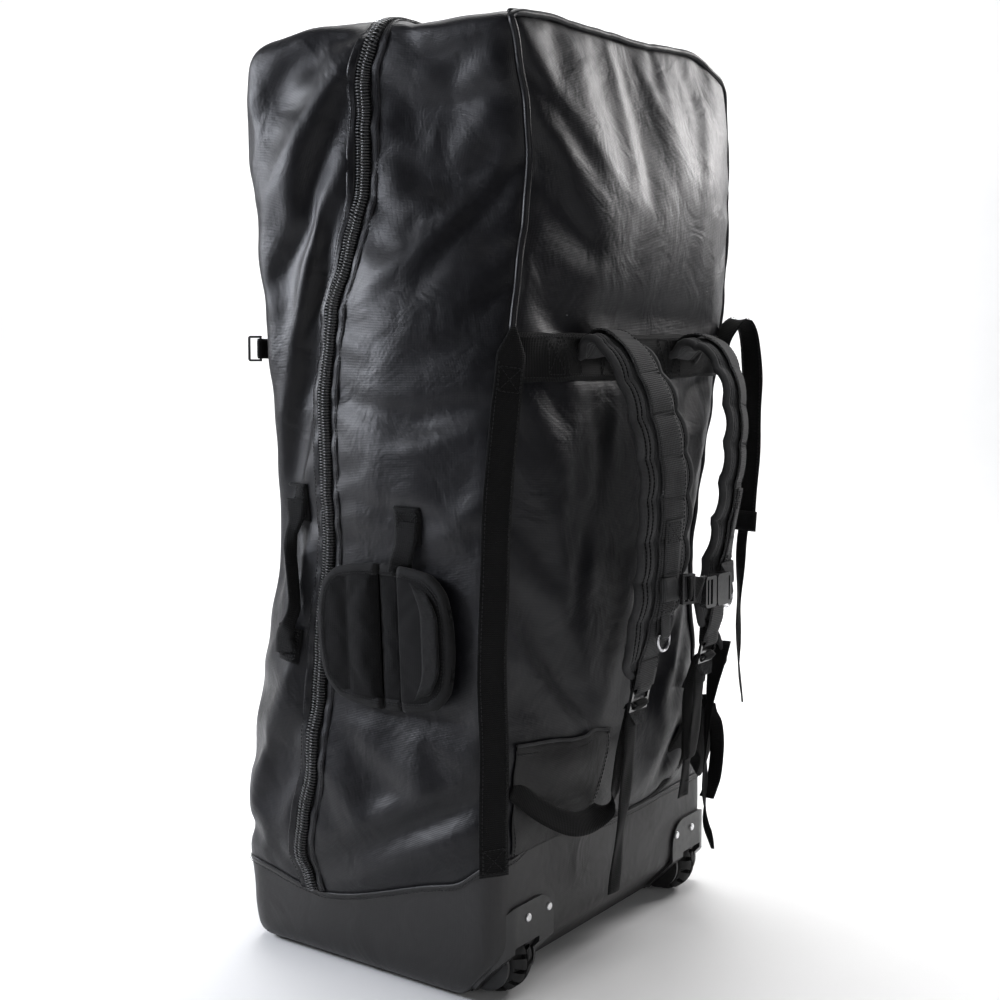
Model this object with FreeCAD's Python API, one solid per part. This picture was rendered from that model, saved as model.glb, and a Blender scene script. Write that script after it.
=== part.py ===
"""Wheeled board backpack: a tall two-half zipped bag with a stiff booted base, two corner wheels,
a padded shoulder harness with chest strap, and side carry handles with a grip wrap.

Frame: millimetres, +Z up, +X to the right as seen from the harness side, harness on the -Y face.
Origin: middle of the flat base, on the floor. "left" is the -X side, "right" the +X side.
"""

import FreeCAD, Part
import math
import os

V = FreeCAD.Vector
X_AXIS, Y_AXIS, Z_AXIS = V(1, 0, 0), V(0, 1, 0), V(0, 0, 1)
OUT = "parts"
BIG = 2000.0

# ---------------------------------------------------------------- driving dimensions
BAG_W, BAG_D, BAG_H = 460.0, 334.0, 985.0
HALF_W, HALF_D = BAG_W / 2, BAG_D / 2
CORNER_R, TOP_R = 34.0, 26.0
FABRIC = 2.5
BEVEL_UP, BEVEL_IN = 52.0, 50.0            # back edge of the base is cut away for the wheels
SEAM_Z, BACK_SEAM_Z = 105.0, 150.0         # top of the base boot: front and sides, harness face
ZIP_TOP_Y, ZIP_FOOT_Y = 8.0, 58.0          # the zip line leans forward on its way down
ZIP_HALF_GAP = 14.0                        # from the zip line to each fabric edge
COIL_HALF, COIL_RISE, SLIDER_GAP = 4.6, 2.6, 1.6
TAPE_INSET, TAPE_T = 0.8, 1.2

WHEEL_R, WHEEL_W = 36.0, 34.0
WHEEL_X, WHEEL_Y = 178.0, -134.0
AXLE_R, BUSH_R, HUB_R = 4.0, 7.0, 22.0
RUNNING_GAP = 0.05
HOUSING_T, HOUSING_TOP_Z, HOUSING_FOOT_Z = 3.0, 98.0, 4.0
SLOT_R, SLOT_HALF_W = 41.5, 21.5
CHEEK_T, CHEEK_R = 3.5, 29.0
RIVET_R, RIVET_HEAD, RIVET_PITCH, RIVET_Z = 4.2, 1.8, 38.0, 82.0

BAND_Z, BAND_H = 645.0, 48.0               # wide webbing across the harness face
WEB_T = 2.0
CORNER_WEB_W = 38.0
CORNER_STRAP_W = 34.0                      # left corner webbing, turned to face the corner
CORNER_STRAP_TURN = 35.0
CORNER_STRAP_AT = (-226.0, -163.5)

HARNESS_X = 18.0                           # the packed bag pushes its harness to the right
PAD_W, PAD_T = 72.0, 13.0
OVERLAY_W, OVERLAY_T = 38.0, 1.8
TAB_W, TAB_T = 25.0, 1.6
TAIL_W = 25.0
# Front surface of each shoulder pad, top to bottom: outward from the harness centre, y, z.
LEFT_PAD = [(92, -174, 646), (96, -194, 666), (95, -222, 657), (91, -252, 607), (84, -267, 535),
            (78, -263, 465), (73, -255, 400), (69, -239, 350), (67, -229, 320)]
RIGHT_PAD = [(92, -174, 646), (96, -196, 666), (98, -224, 663), (96, -250, 628), (91, -261, 570),
             (84, -259, 508), (77, -250, 440), (72, -242, 378), (70, -238, 350)]
CHEST_Z, CHEST_Y, CHEST_BUCKLE_Z = 408.0, -274.0, 399.0
LOCK_W, LOCK_H, LOCK_T, LOCK_BAR = 37.0, 44.0, 3.2, 3.4

HANDLE_W = 38.0
BACK_HANDLE_Y, FRONT_HANDLE_Y = -62.0, 98.0
PATCH_H, PATCH_T = 38.0, 2.6
BACK_PATCH_Z, FRONT_PATCH_Z = (475.0, 336.0), (490.0, 340.0)   # upper, lower
HANDLE_BOW = 10.0                          # how far the slack front loop stands off the bag
HANDLE_T = 2.4
WRAP_Y, WRAP_Z, WRAP_W, WRAP_H, WRAP_T = -38.0, 362.0, 172.0, 146.0, 8.0
WRAP_R, WRAP_CORE_W, WRAP_STANDOFF = 52.0, 26.0, 6.0

RING_H, RING_REACH, RING_WIRE = 28.0, 14.0, 2.4
RING_X, RING_Y, RING_Z = -198.0, HALF_D + 4.4, 655.0


# ---------------------------------------------------------------- small helpers
def box(x0, x1, y0, y1, z0, z1):
    return Part.makeBox(x1 - x0, y1 - y0, z1 - z0, V(x0, y0, z0))


def rod(radius, length, start, axis):
    return Part.makeCylinder(radius, length, start, axis)


def prism_x(points_yz, x0, x1):
    """Solid between x0 and x1 with this outline in the YZ plane."""
    outline = [V(x0, y, z) for y, z in points_yz]
    face = Part.Face(Part.makePolygon(outline + outline[:1]))
    return face.extrude(V(x1 - x0, 0, 0))


def prism_y(points_xz, y0, y1):
    """Solid between y0 and y1 with this outline in the XZ plane."""
    outline = [V(x, y0, z) for x, z in points_xz]
    face = Part.Face(Part.makePolygon(outline + outline[:1]))
    return face.extrude(V(0, y1 - y0, 0))


def fillet_where(solid, radius, keep):
    return solid.makeFillet(radius, [e for e in solid.Edges if keep(e)])


def is_along(edge, axis):
    a, b = edge.Vertexes[0].Point, edge.Vertexes[-1].Point
    run = b - a
    return run.Length > 1e-6 and abs(run.normalize().dot(axis)) > 0.9999


def rounded_plate(width, height, thickness, radius):
    """Plate in the XZ plane, centred, its thickness from y=0 to y=thickness."""
    plate = box(-width / 2, width / 2, 0, thickness, -height / 2, height / 2)
    return fillet_where(plate, radius, lambda e: is_along(e, Y_AXIS))


def fuse(*solids):
    whole = solids[0]
    for solid in solids[1:]:
        whole = whole.fuse(solid)
    return whole.removeSplitter()


def turned(shape, degrees, axis, about=V(0, 0, 0)):
    copy = shape.copy()
    copy.rotate(about, axis, degrees)
    return copy


def moved(shape, x, y, z):
    copy = shape.copy()
    copy.translate(V(x, y, z))
    return copy


def webbing(points, across, width, thick, per_span=3, span=(0.0, 1.0)):
    """A flat band along the 3-D points; its thickness grows from the path towards t x across."""
    curve = Part.BSplineCurve()
    curve.interpolate([V(*p) for p in points])
    count = per_span * (len(points) - 1)
    length = curve.LastParameter - curve.FirstParameter
    first, last = curve.FirstParameter + span[0] * length, curve.FirstParameter + span[1] * length
    wires = []
    for i in range(count + 1):
        t = first + (last - first) * i / count
        centre, along = curve.value(t), curve.tangent(t)[0]
        if isinstance(across, V):
            wide = across
        else:
            wide = across[0] + (across[1] - across[0]) * (i / count)
        wide = (wide - along * wide.dot(along)).normalize()
        up = along.cross(wide).normalize() * thick
        half = wide * (width / 2)
        corners = [centre - half, centre + half, centre + half + up, centre - half + up]
        wires.append(Part.makePolygon(corners + corners[:1]))
    return Part.makeLoft(wires, True, False)


# ---------------------------------------------------------------- the bag's fabric
def bag_block(inset):
    """The bag's outside as a solid block, moved inward by inset."""
    w, d = HALF_W - inset, HALF_D - inset
    block = box(-w, w, -d, d, inset, BAG_H - inset)
    block = fillet_where(block, CORNER_R - inset, lambda e: is_along(e, Z_AXIS))
    top = BAG_H - inset - 0.01
    block = fillet_where(block, TOP_R - inset, lambda e: e.BoundBox.ZMin > top)
    slope = math.hypot(BEVEL_UP, BEVEL_IN)
    shift_y, shift_z = inset * BEVEL_UP / slope, inset * BEVEL_IN / slope
    run_y, run_z = BEVEL_IN / slope, -BEVEL_UP / slope
    start = (-HALF_D + shift_y, BEVEL_UP + shift_z)
    high = (start[0] - run_y * BIG, start[1] - run_z * BIG)
    low = (start[0] + run_y * BIG, start[1] + run_z * BIG)
    return block.cut(prism_x([high, low, (-2 * BIG, low[1])], -BIG, BIG))


def zip_slab(near, far):
    """Everything between two distances in front of the leaning zip line."""
    lean = (ZIP_FOOT_Y - ZIP_TOP_Y) / (BAG_H - SEAM_Z)
    z0, z1 = -BIG, BIG

    def y_at(z):
        return ZIP_TOP_Y + lean * (BAG_H - z)
    return prism_x([(y_at(z0) + near, z0), (y_at(z0) + far, z0), (y_at(z1) + far, z1),
                    (y_at(z1) + near, z1)], -BIG, BIG)


def fabric(outer_inset, inner_inset):
    return bag_block(outer_inset).cut(bag_block(inner_inset))


def above_boot():
    room = box(-BIG, BIG, -BIG, BIG, SEAM_Z, BIG)
    return room.cut(box(-BIG, BIG, -BIG, -HALF_D + FABRIC, -BIG, BACK_SEAM_Z))


def wheel_bay(side, gap):
    x0, x1 = sorted((side * (WHEEL_X - SLOT_HALF_W - CHEEK_T - gap),
                     side * (WHEEL_X + SLOT_HALF_W + CHEEK_T + gap)))
    return rod(SLOT_R + HOUSING_T + gap, x1 - x0, V(x0, WHEEL_Y, WHEEL_R), X_AXIS)


def bag_parts():
    skin = fabric(0, FABRIC)
    upper = skin.common(above_boot())
    boot = skin.cut(above_boot())
    for side in (-1, 1):
        boot = boot.cut(wheel_bay(side, 0.6))
    tape = fabric(TAPE_INSET, TAPE_INSET + TAPE_T).common(above_boot())
    coil = fabric(-COIL_RISE, TAPE_INSET).common(above_boot())
    return {
        "back_shell": upper.common(zip_slab(-BIG, -ZIP_HALF_GAP)),
        "front_shell": upper.common(zip_slab(ZIP_HALF_GAP, BIG)),
        "base_boot": boot,
        "zip_tape_back": tape.common(zip_slab(-ZIP_HALF_GAP, -0.3)),
        "zip_tape_front": tape.common(zip_slab(0.3, ZIP_HALF_GAP)),
        "zip_coil_back": coil.common(zip_slab(-COIL_HALF, -0.3)),
        "zip_coil_front": coil.common(zip_slab(0.3, COIL_HALF)),
    }


def stiffeners():
    """The hidden boards that hold the base and the harness face flat."""
    board_t, clear = 4.0, 14.0
    inner = bag_block(FABRIC + 0.4)
    floor = box(-BIG, BIG, WHEEL_Y + SLOT_R + HOUSING_T + 4, BIG, -BIG, FABRIC + 0.4 + board_t)
    back = box(-HALF_W + CORNER_R, HALF_W - CORNER_R, -BIG, -HALF_D + FABRIC + 0.4 + board_t,
               BACK_SEAM_Z - clear, BAG_H - TOP_R - clear)
    return {"base_board": inner.common(floor), "back_board": inner.common(back)}


def back_piping():
    """Covered cord round the harness face, sitting on its edge."""
    bead_r = 4.0
    x, top, foot = HALF_W - 10, BAG_H - 9, BACK_SEAM_Z + 1
    y = -HALF_D + 9 - bead_r
    bend = 30.0
    straight = [Part.LineSegment(V(-x, y, foot), V(-x, y, top - bend)),
                Part.LineSegment(V(-x + bend, y, top), V(x - bend, y, top)),
                Part.LineSegment(V(x, y, top - bend), V(x, y, foot))]
    q = bend * (1 - math.sqrt(0.5))
    arcs = [Part.Arc(V(-x, y, top - bend), V(-x + q, y, top - q), V(-x + bend, y, top)),
            Part.Arc(V(x - bend, y, top), V(x - q, y, top - q), V(x, y, top - bend))]
    path = Part.Wire([straight[0].toShape(), arcs[0].toShape(), straight[1].toShape(),
                      arcs[1].toShape(), straight[2].toShape()])
    ring = Part.Wire(Part.makeCircle(bead_r, V(-x, y, foot), Z_AXIS))
    bead = path.makePipeShell([ring], True, True)
    return bead.cut(bag_block(0))


def harness_pocket():
    """Patch pocket low on the harness face that the straps tuck into."""
    x0, x1, z0, z1 = -192.0, -20.0, BACK_SEAM_Z + 6, 252.0
    return box(x0, x1, -HALF_D - 1.2, -HALF_D, z0, z1)


# ---------------------------------------------------------------- wheels and their housings
def housing(side):
    rim = fabric(-HOUSING_T, 0)
    lo, hi = sorted((side * 130.0, side * 224.0))
    outline = rounded_plate(hi - lo, HOUSING_TOP_Z - HOUSING_FOOT_Z, 120, 28)
    outline = moved(outline, (lo + hi) / 2, -HALF_D - 40, (HOUSING_TOP_Z + HOUSING_FOOT_Z) / 2)
    flange = rim.common(outline)
    bay = wheel_bay(side, 0).common(bag_block(0))
    x0, x1 = sorted((side * (WHEEL_X - SLOT_HALF_W - CHEEK_T),
                     side * (WHEEL_X + SLOT_HALF_W + CHEEK_T)))
    ears = rod(CHEEK_R, x1 - x0, V(x0, WHEEL_Y, WHEEL_R), X_AXIS)
    slot_x = min(side * (WHEEL_X - SLOT_HALF_W), side * (WHEEL_X + SLOT_HALF_W))
    slot = rod(SLOT_R, 2 * SLOT_HALF_W, V(slot_x, WHEEL_Y, WHEEL_R), X_AXIS)
    body = fuse(flange, bay, ears).cut(slot)
    body = body.common(box(-BIG, BIG, -BIG, BIG, 2.0, BIG))
    axle_hole = rod(AXLE_R, 2 * BIG, V(-BIG, WHEEL_Y, WHEEL_R), X_AXIS)
    return body.cut(axle_hole)


def rivets():
    """Four dome-headed rivets, two through the top of each housing."""
    found = []
    for side in (-1, 1):
        for step in (-0.5, 0.5):
            x = side * 158.0 + step * RIVET_PITCH
            y = -HALF_D - HOUSING_T
            head = rod(RIVET_R, RIVET_HEAD, V(x, y, RIVET_Z), V(0, -1, 0))
            head = fillet_where(head, 1.2, lambda e: e.BoundBox.YMax < y - RIVET_HEAD + 0.01)
            found.append(head)
    return Part.makeCompound(found)


def tyre(side):
    """Knobbly tyre: a rounded ring with staggered grooves cut across its tread."""
    half, shoulder, depth, lugs = WHEEL_W / 2, 10.0, 4.2, 14
    crown = WHEEL_R - 1.5
    tread = [V(-half, 0, HUB_R), V(-half, 0, WHEEL_R - shoulder), V(half, 0, WHEEL_R - shoulder),
             V(half, 0, HUB_R)]
    edges = [Part.LineSegment(tread[0], tread[1]).toShape(),
             Part.Arc(tread[1], V(-half + 5, 0, crown - 1.5), V(0, 0, WHEEL_R)).toShape(),
             Part.Arc(V(0, 0, WHEEL_R), V(half - 5, 0, crown - 1.5), tread[2]).toShape(),
             Part.LineSegment(tread[2], tread[3]).toShape(),
             Part.LineSegment(tread[3], tread[0]).toShape()]
    ring = Part.Face(Part.Wire(edges)).revolve(V(0, 0, 0), X_AXIS, 360)
    grooves = []
    for row, start in ((-1, 0.0), (1, 0.5)):
        cut = box(0 if row > 0 else -half - 1, half + 1 if row > 0 else 0, -2.4, 2.4,
                  WHEEL_R - depth - 2.5, WHEEL_R + 2)
        cut = turned(cut, 14 * row, Z_AXIS, V(row * half / 2, 0, 0))
        for i in range(lugs):
            grooves.append(turned(cut, (i + start) * 360.0 / lugs, X_AXIS))
    ring = ring.cut(Part.makeCompound(grooves))
    belt = rod(WHEEL_R + 1, 1.6, V(-0.8, 0, 0), X_AXIS).cut(
        rod(WHEEL_R - 2.0, 1.6, V(-0.8, 0, 0), X_AXIS))
    return moved(ring.cut(belt), side * WHEEL_X, WHEEL_Y, WHEEL_R)


def hub(side):
    half, rim_t = WHEEL_W / 2 - 1.0, 3.0
    rim = rod(HUB_R, 2 * half, V(-half, 0, 0), X_AXIS).cut(
        rod(HUB_R - rim_t, 2 * half, V(-half, 0, 0), X_AXIS))
    boss = rod(BUSH_R + 3.5, 2 * half + 2, V(-half - 1, 0, 0), X_AXIS)
    web = rod(HUB_R - rim_t + 0.2, 5, V(-2.5, 0, 0), X_AXIS)
    body = fuse(rim, boss, web).cut(rod(BUSH_R, BIG, V(-BIG / 2, 0, 0), X_AXIS))
    for i in range(5):
        hole = rod(2.4, 20, V(-10, 0, 14.6), X_AXIS)
        body = body.cut(turned(hole, 72 * i, X_AXIS))
    return moved(body, side * WHEEL_X, WHEEL_Y, WHEEL_R)


def bush(side):
    half = WHEEL_W / 2 + 0.5
    sleeve = rod(BUSH_R, 2 * half, V(-half, 0, 0), X_AXIS).cut(
        rod(AXLE_R + RUNNING_GAP, 2 * half, V(-half, 0, 0), X_AXIS))
    return moved(sleeve, side * WHEEL_X, WHEEL_Y, WHEEL_R)


def axle(side):
    """Steel pin with a flat head each end, outside the housing's cheeks."""
    half = SLOT_HALF_W + CHEEK_T
    pin = rod(AXLE_R, 2 * half, V(-half, 0, 0), X_AXIS)
    heads = [rod(AXLE_R + 2.5, 1.6, V(x, 0, 0), X_AXIS) for x in (-half - 1.6, half)]
    return moved(fuse(pin, *heads), side * WHEEL_X, WHEEL_Y, WHEEL_R)


# ---------------------------------------------------------------- zip sliders
def zip_slider(side):
    """Slider body straddling the coil on the top of the bag, its nose to the side."""
    y, z = ZIP_TOP_Y, BAG_H + COIL_RISE + SLIDER_GAP
    x = side * 16.0
    body = turned(rounded_plate(11, 20, 3.4, 4.5), 90, X_AXIS)
    body = turned(body, 90, Z_AXIS)
    body = moved(body, x, y, z)
    bridge = box(x - 5, x + 5, y - 2, y + 2, z + 3.4, z + 7.2)
    bridge = bridge.cut(box(x - 2.8, x + 2.8, y - 3, y + 3, z + 3.4, z + 5.9))
    return fuse(body, bridge)


def zip_pull(side):
    """Pull tab lying flat along the zip; its slot hangs on the slider's bridge."""
    y, z = ZIP_TOP_Y, BAG_H + COIL_RISE + SLIDER_GAP + 3.85
    x = side * 16.0
    tab = box(-0.8, 34, -4.5, 4.5, 0, 1.6)
    tab = fillet_where(tab, 2.0, lambda e: is_along(e, Z_AXIS) and e.BoundBox.XMin > 30)
    tab = tab.cut(box(0.8, 10, -2.4, 2.4, -1, 3))
    tab = tab.cut(rod(2.2, 4, V(28, 0, -1), Z_AXIS))
    if side < 0:
        tab = turned(tab, 180, Z_AXIS)
    return moved(tab, x, y, z)


# ---------------------------------------------------------------- webbing on the harness face
def yoke_band():
    return box(-HALF_W + 24, HALF_W - 8, -HALF_D - WEB_T, -HALF_D, BAND_Z - BAND_H / 2,
               BAND_Z + BAND_H / 2)


def corner_strap_left():
    """Webbing folded off the band and run down the corner to the boot."""
    half, y = CORNER_STRAP_W / 2, -WEB_T
    top, foot = BAND_Z + BAND_H / 2 + 4, 138
    run = box(-half, half, y, 0, foot, top - 22)
    peak = prism_y([(-half, top - 22), (half, top - 22), (0, top + 4)], y, 0)
    strap = turned(fuse(run, peak), -CORNER_STRAP_TURN, Z_AXIS)
    return moved(strap, *CORNER_STRAP_AT, 0)


def corner_strap_right():
    """The same webbing on the right corner, folded over and hanging slack off the bag."""
    path = [(226, -186, 676), (243, -192, 693), (252, -200, 678), (251, -207, 631),
            (248, -208, 585), (244, -209, 535), (240, -208, 490), (236, -206, 445)]
    return webbing(path, V(0.25, 1, 0.1), CORNER_WEB_W - 8, WEB_T)


def corner_strap_tail():
    """Its narrow free end, hanging edge-on."""
    path = [(235.5, -206, 442), (233, -203, 390), (231, -203, 330), (228, -206, 275),
            (225, -212, 232)]
    return webbing(path, (V(0.25, 1, 0.1), V(1, 0.5, 0)), 16.0, WEB_T)


def adjuster(side):
    """Lower webbing: from the bag's corner, slack, up to the back of the ladder lock."""
    points = [(160, -190, 208), (128, -194, 170), (92, -202, 184), (76, -206, 232),
              (66, -213, 276)]
    lock = lock_centre(side)
    path = [(HARNESS_X + side * x, y, z) for x, y, z in points]
    path.append((lock.x, lock.y + 14, lock.z - 8))
    across = (V(0, 0.35, 1), V(1, 0, 0) * side * -1)
    return webbing(path, across, TAIL_W, 1.6, 5)


def adjuster_tail(side):
    """The free end of the lower webbing, hanging from the lock."""
    lock = lock_centre(side)
    drop = 78.0 if side < 0 else 150.0
    path = [(lock.x - 2, lock.y + 9.2, lock.z - 26), (lock.x - 4, lock.y + 10, lock.z - 60),
            (lock.x - 6, lock.y + 16, lock.z - 130), (lock.x - 8, lock.y + 26, drop)]
    return webbing(path, V(1, 0, 0), TAIL_W, 1.6)


# ---------------------------------------------------------------- padded harness
def pad_path(side):
    points = LEFT_PAD if side < 0 else RIGHT_PAD
    return [(HARNESS_X + side * x, y, z) for x, y, z in points]


def strap_line(side, lift=0.0):
    """Front surface of the pad, run on a little below it and lifted off it."""
    path = pad_path(side)
    x, y, z = path[-1]
    return [(px, py - lift, pz) for px, py, pz in path + [(x - side * 0.5, y + 4.0, z - 15)]]


def shoulder_pad(side):
    return webbing(strap_line(side), V(-1, 0, 0), PAD_W, PAD_T, 4, (0.0, 0.95))


def pad_overlay(side):
    """Wide webbing sewn down the middle of the pad, running on below it to hold the lock."""
    return webbing(strap_line(side, 1.2), V(1, 0, 0), OVERLAY_W, OVERLAY_T, 5, (0.1, 1.0))


def overlay_tab(side):
    """Narrow webbing sewn over the overlay, past the chest strap, down to the ring."""
    path = strap_line(side, 1.2 + OVERLAY_T + 0.5)
    return webbing(path, V(1, 0, 0), TAB_W, TAB_T, span=(0.62, 0.83))


def ring_centre(side):
    path = pad_path(side)
    x, y, z = path[7]
    return V(x, y - OVERLAY_T - 11.5, z + 8)


def d_ring(side):
    """Round-wire D, straight bar on top."""
    r, wire = 11.5, 1.5
    profile = [V(-r, 0, 0), V(r, 0, 0)]
    arc = Part.Arc(profile[1], V(0, 0, -r * 1.35), profile[0]).toShape()
    bar = rod(wire, 2 * r, profile[0], X_AXIS)
    path = Part.Wire([arc])
    start = Part.Wire(Part.makeCircle(wire, profile[1], arc.tangentAt(arc.FirstParameter)))
    bend = path.makePipeShell([start], True, True)
    ends = [Part.makeSphere(wire + 0.02, p) for p in profile]
    whole = bar.fuse(bend).fuse(ends[0]).fuse(ends[1])
    centre = ring_centre(side)
    return moved(whole, centre.x, centre.y, centre.z)


def ring_loop(side):
    """Folded webbing that holds the ring against the overlay."""
    c = ring_centre(side)
    outer, inner = 4.0, 2.4
    ring = rod(outer, TAB_W - 6, V(c.x - TAB_W / 2 + 3, c.y, c.z), X_AXIS)
    back = box(c.x - TAB_W / 2 + 3, c.x + TAB_W / 2 - 3, c.y, c.y + outer, c.z, c.z + 8)
    body = ring.fuse(back).removeSplitter()
    hole = rod(inner, TAB_W, V(c.x - TAB_W / 2, c.y, c.z), X_AXIS)
    front = box(c.x - TAB_W, c.x + TAB_W, c.y - 9, c.y + outer - 1.6, c.z + 3.5, c.z + 20)
    return body.cut(hole).cut(front)


# ---------------------------------------------------------------- ladder locks
def lock_centre(side):
    """Middle of the lock's upper bar."""
    x, y, z = pad_path(side)[-1]
    return V(x, y + 4.0, z - 21)


def ladder_lock(side):
    """Strap adjuster: two rails, three bars and a thumb tab, curved tab-down."""
    bar_y = LOCK_T / 2
    rail = 3.6
    low = -LOCK_H + 6
    frame = box(-LOCK_W / 2, LOCK_W / 2, -bar_y, bar_y, low + 14, 4)
    window = LOCK_W / 2 - rail
    frame = frame.cut(box(-window, window, -5, 5, -11.0, -LOCK_BAR / 2 - 0.2))
    frame = frame.cut(box(-window, window, -5, 5, low + 14 + LOCK_BAR, -11.0 - LOCK_BAR))
    frame = frame.cut(box(-window, window, -5, 5, LOCK_BAR / 2, 9))
    tab = prism_y([(-LOCK_W / 2, low + 14.5), (LOCK_W / 2, low + 14.5), (LOCK_W / 4, low),
                   (-LOCK_W / 4, low)], -bar_y, bar_y)
    tab = turned(tab, 24, V(-1, 0, 0), V(0, 0, low + 14.5))
    whole = frame.fuse(tab).removeSplitter()
    c = lock_centre(side)
    return moved(turned(whole, 12, X_AXIS), c.x, c.y, c.z)


def lock_loop(side):
    """Overlay webbing turned back round the lock's upper bar."""
    c = lock_centre(side)
    half, outer, inner = 14.0, 4.6, 3.0
    loop = rod(outer, 2 * half, V(c.x - half, c.y, c.z), X_AXIS)
    neck = box(c.x - half, c.x + half, c.y - outer, c.y + outer, c.z, c.z + 5.0)
    body = loop.fuse(neck).removeSplitter()
    hollow = rod(inner, 2 * half, V(c.x - half, c.y, c.z), X_AXIS)
    gap = box(c.x - half, c.x + half, c.y - inner, c.y + inner, c.z, c.z + 3.4)
    return body.cut(hollow).cut(gap)


# ---------------------------------------------------------------- chest strap
def chest_point(side):
    """Front of the overlay at chest height, and how it leans there (y per z)."""
    path = pad_path(side)
    lo, hi = [p for p in path if p[2] <= CHEST_Z][0], [p for p in path if p[2] > CHEST_Z][-1]
    k = (CHEST_Z - lo[2]) / (hi[2] - lo[2])
    x, y = lo[0] + k * (hi[0] - lo[0]), lo[1] + k * (hi[1] - lo[1])
    return V(x, y - OVERLAY_T - TAB_T - 3.6, CHEST_Z), (hi[1] - lo[1]) / (hi[2] - lo[2])


def chest_loop(side):
    """Webbing passed round the overlay tab."""
    c, lean = chest_point(side)
    half = TAB_W / 2 + 2.5
    loop = box(-half, half, -1.8, 0, -12.5, 12.5)
    return moved(turned(loop, -math.degrees(math.atan(lean)), X_AXIS), c.x, c.y, c.z)


def chest_strip(side):
    """Webbing from the shoulder strap in to the buckle."""
    c, _ = chest_point(side)
    start = c.x - side * (TAB_W / 2 + 5.3)
    if side < 0:
        inner, inner_y = HARNESS_X - 8.0, c.y - 1.9
    else:
        inner, inner_y = HARNESS_X + 36.6, CHEST_Y + 0.8
    middle = (0.5 * (start + inner), 0.5 * (c.y - 1.9 + inner_y), 0.5 * (c.z + CHEST_BUCKLE_Z))
    path = [(start, c.y - 1.9, c.z), middle, (inner, inner_y, CHEST_BUCKLE_Z)]
    return webbing(path, V(0, 0, side), 23.0, 1.6)


def triglide():
    """Strap keeper: a frame with a middle bar, round the left chest webbing."""
    c, _ = chest_point(-1)
    frame = box(-8.0, 8.0, -2.6, 2.6, -15.5, 15.5)
    frame = frame.cut(box(-6.0, -1.3, -5, 5, -12.7, 12.7))
    frame = frame.cut(box(1.3, 6.0, -5, 5, -12.7, 12.7))
    frame = turned(frame, -25, Z_AXIS)
    return moved(frame, c.x + 16.0, c.y - 10.4, c.z - 1.2)


def buckle_socket():
    """Female half: flat shell, open towards the plug, with side windows and a webbing bar."""
    shell = box(0, 32, -5.5, 5.5, -17, 17)
    shell = fillet_where(shell, 5.0, lambda e: is_along(e, Y_AXIS))
    shell = shell.cut(box(-1, 24, -3.2, 3.2, -13.6, 13.6))
    for z in (-17.5, 11.0):
        shell = shell.cut(box(6, 17, -3.2, 3.2, z, z + 6.5))
    shell = shell.cut(box(25.5, 28.5, -6, 6, -13, 13))
    return moved(shell, HARNESS_X, CHEST_Y, CHEST_BUCKLE_Z)


def buckle_plug():
    """Male half: webbing bar, shoulder, centre rail and two sprung arms."""
    base = box(-26, -1.0, -4.8, 4.8, -16.5, 16.5)
    base = fillet_where(base, 5.0, lambda e: is_along(e, Y_AXIS))
    base = base.cut(box(-22.5, -19, -6, 6, -13, 13)).cut(box(-15.5, -10.5, -6, 6, -13, 13))
    rail = box(-2, 20, -2.4, 2.4, -2.0, 2.0)
    arms = [box(-2, 16.5, -2.4, 2.4, z, z + 3.2) for z in (-12.6, 9.4)]
    return moved(fuse(base, rail, *arms), HARNESS_X, CHEST_Y, CHEST_BUCKLE_Z)


# ---------------------------------------------------------------- waist belt
def waist_band():
    """Belt webbing sewn to the middle of the harness face, running to the right corner."""
    path = [(HARNESS_X + 2, -169.4, 160), (62, -169.6, 162), (104, -171, 172), (146, -172, 196),
            (188, -172, 240)]
    return webbing(path, (V(0, 0, 1), V(-0.7, 0, 0.7)), 34.0, WEB_T)


def waist_wing():
    """Padded wing standing out from the right corner."""
    path = [(152, -187, 262), (152, -196, 291), (147, -212, 313), (128, -234, 320)]
    return webbing(path, (V(1, 0, 0), V(0.2, 0.6, 0.8)), 46.0, 9.0)


def waist_tail():
    """Its webbing, twisting down from the wing's tip."""
    path = [(122.5, -232, 313), (125, -222, 276), (125, -215, 225), (125, -213, 165),
            (126, -214, 115), (131, -221, 78)]
    return webbing(path, (V(0, 1, 0), V(1, 0.6, 0)), 18.0, 1.6)


def waist_loop():
    """Slack loop of the same webbing beside the tail."""
    path = [(135, -214, 236), (148, -214, 224), (154, -214, 196), (149, -214, 162),
            (137, -214, 146)]
    return webbing(path, V(0, 1, 0), 18.0, 1.6)


# ---------------------------------------------------------------- side handles
def side_patch(y, z):
    plate = rounded_plate(HANDLE_W - 4, PATCH_H, PATCH_T, 2.0)
    plate = turned(plate, 90, Z_AXIS)
    return moved(plate, -HALF_W, y, z)


def patches(y, heights):
    """The sewn ends of one handle: upper and lower."""
    return Part.makeCompound([side_patch(y, z) for z in heights])


def handle_loop(y, heights, sway, bow):
    """Slack webbing between its two sewn ends, standing off the bag by its bow."""
    x = -HALF_W - PATCH_T - 0.4 - 0.1 * bow
    top, low = heights[0] - PATCH_H / 2 + 6, heights[1] + PATCH_H / 2 - 6
    path = [(x, y, top), (x - bow * 0.6, y + sway, top - 24),
            (x - bow, y + sway * 1.4, (top + low) / 2),
            (x - bow * 0.6, y + sway, low + 24), (x, y, low)]
    return webbing(path, V(0, -1, 0), HANDLE_W - 12, HANDLE_T)


def wrap_slice(y0, y1):
    """One vertical slice of the rounded grip wrap."""
    x = -HALF_W - WRAP_STANDOFF
    plate = rounded_plate(WRAP_W, WRAP_H, WRAP_T, WRAP_R)
    plate = turned(plate, 90, Z_AXIS)
    plate = moved(plate, x, WRAP_Y, WRAP_Z)
    return plate.common(box(-BIG, BIG, y0, y1, -BIG, BIG))


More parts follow.
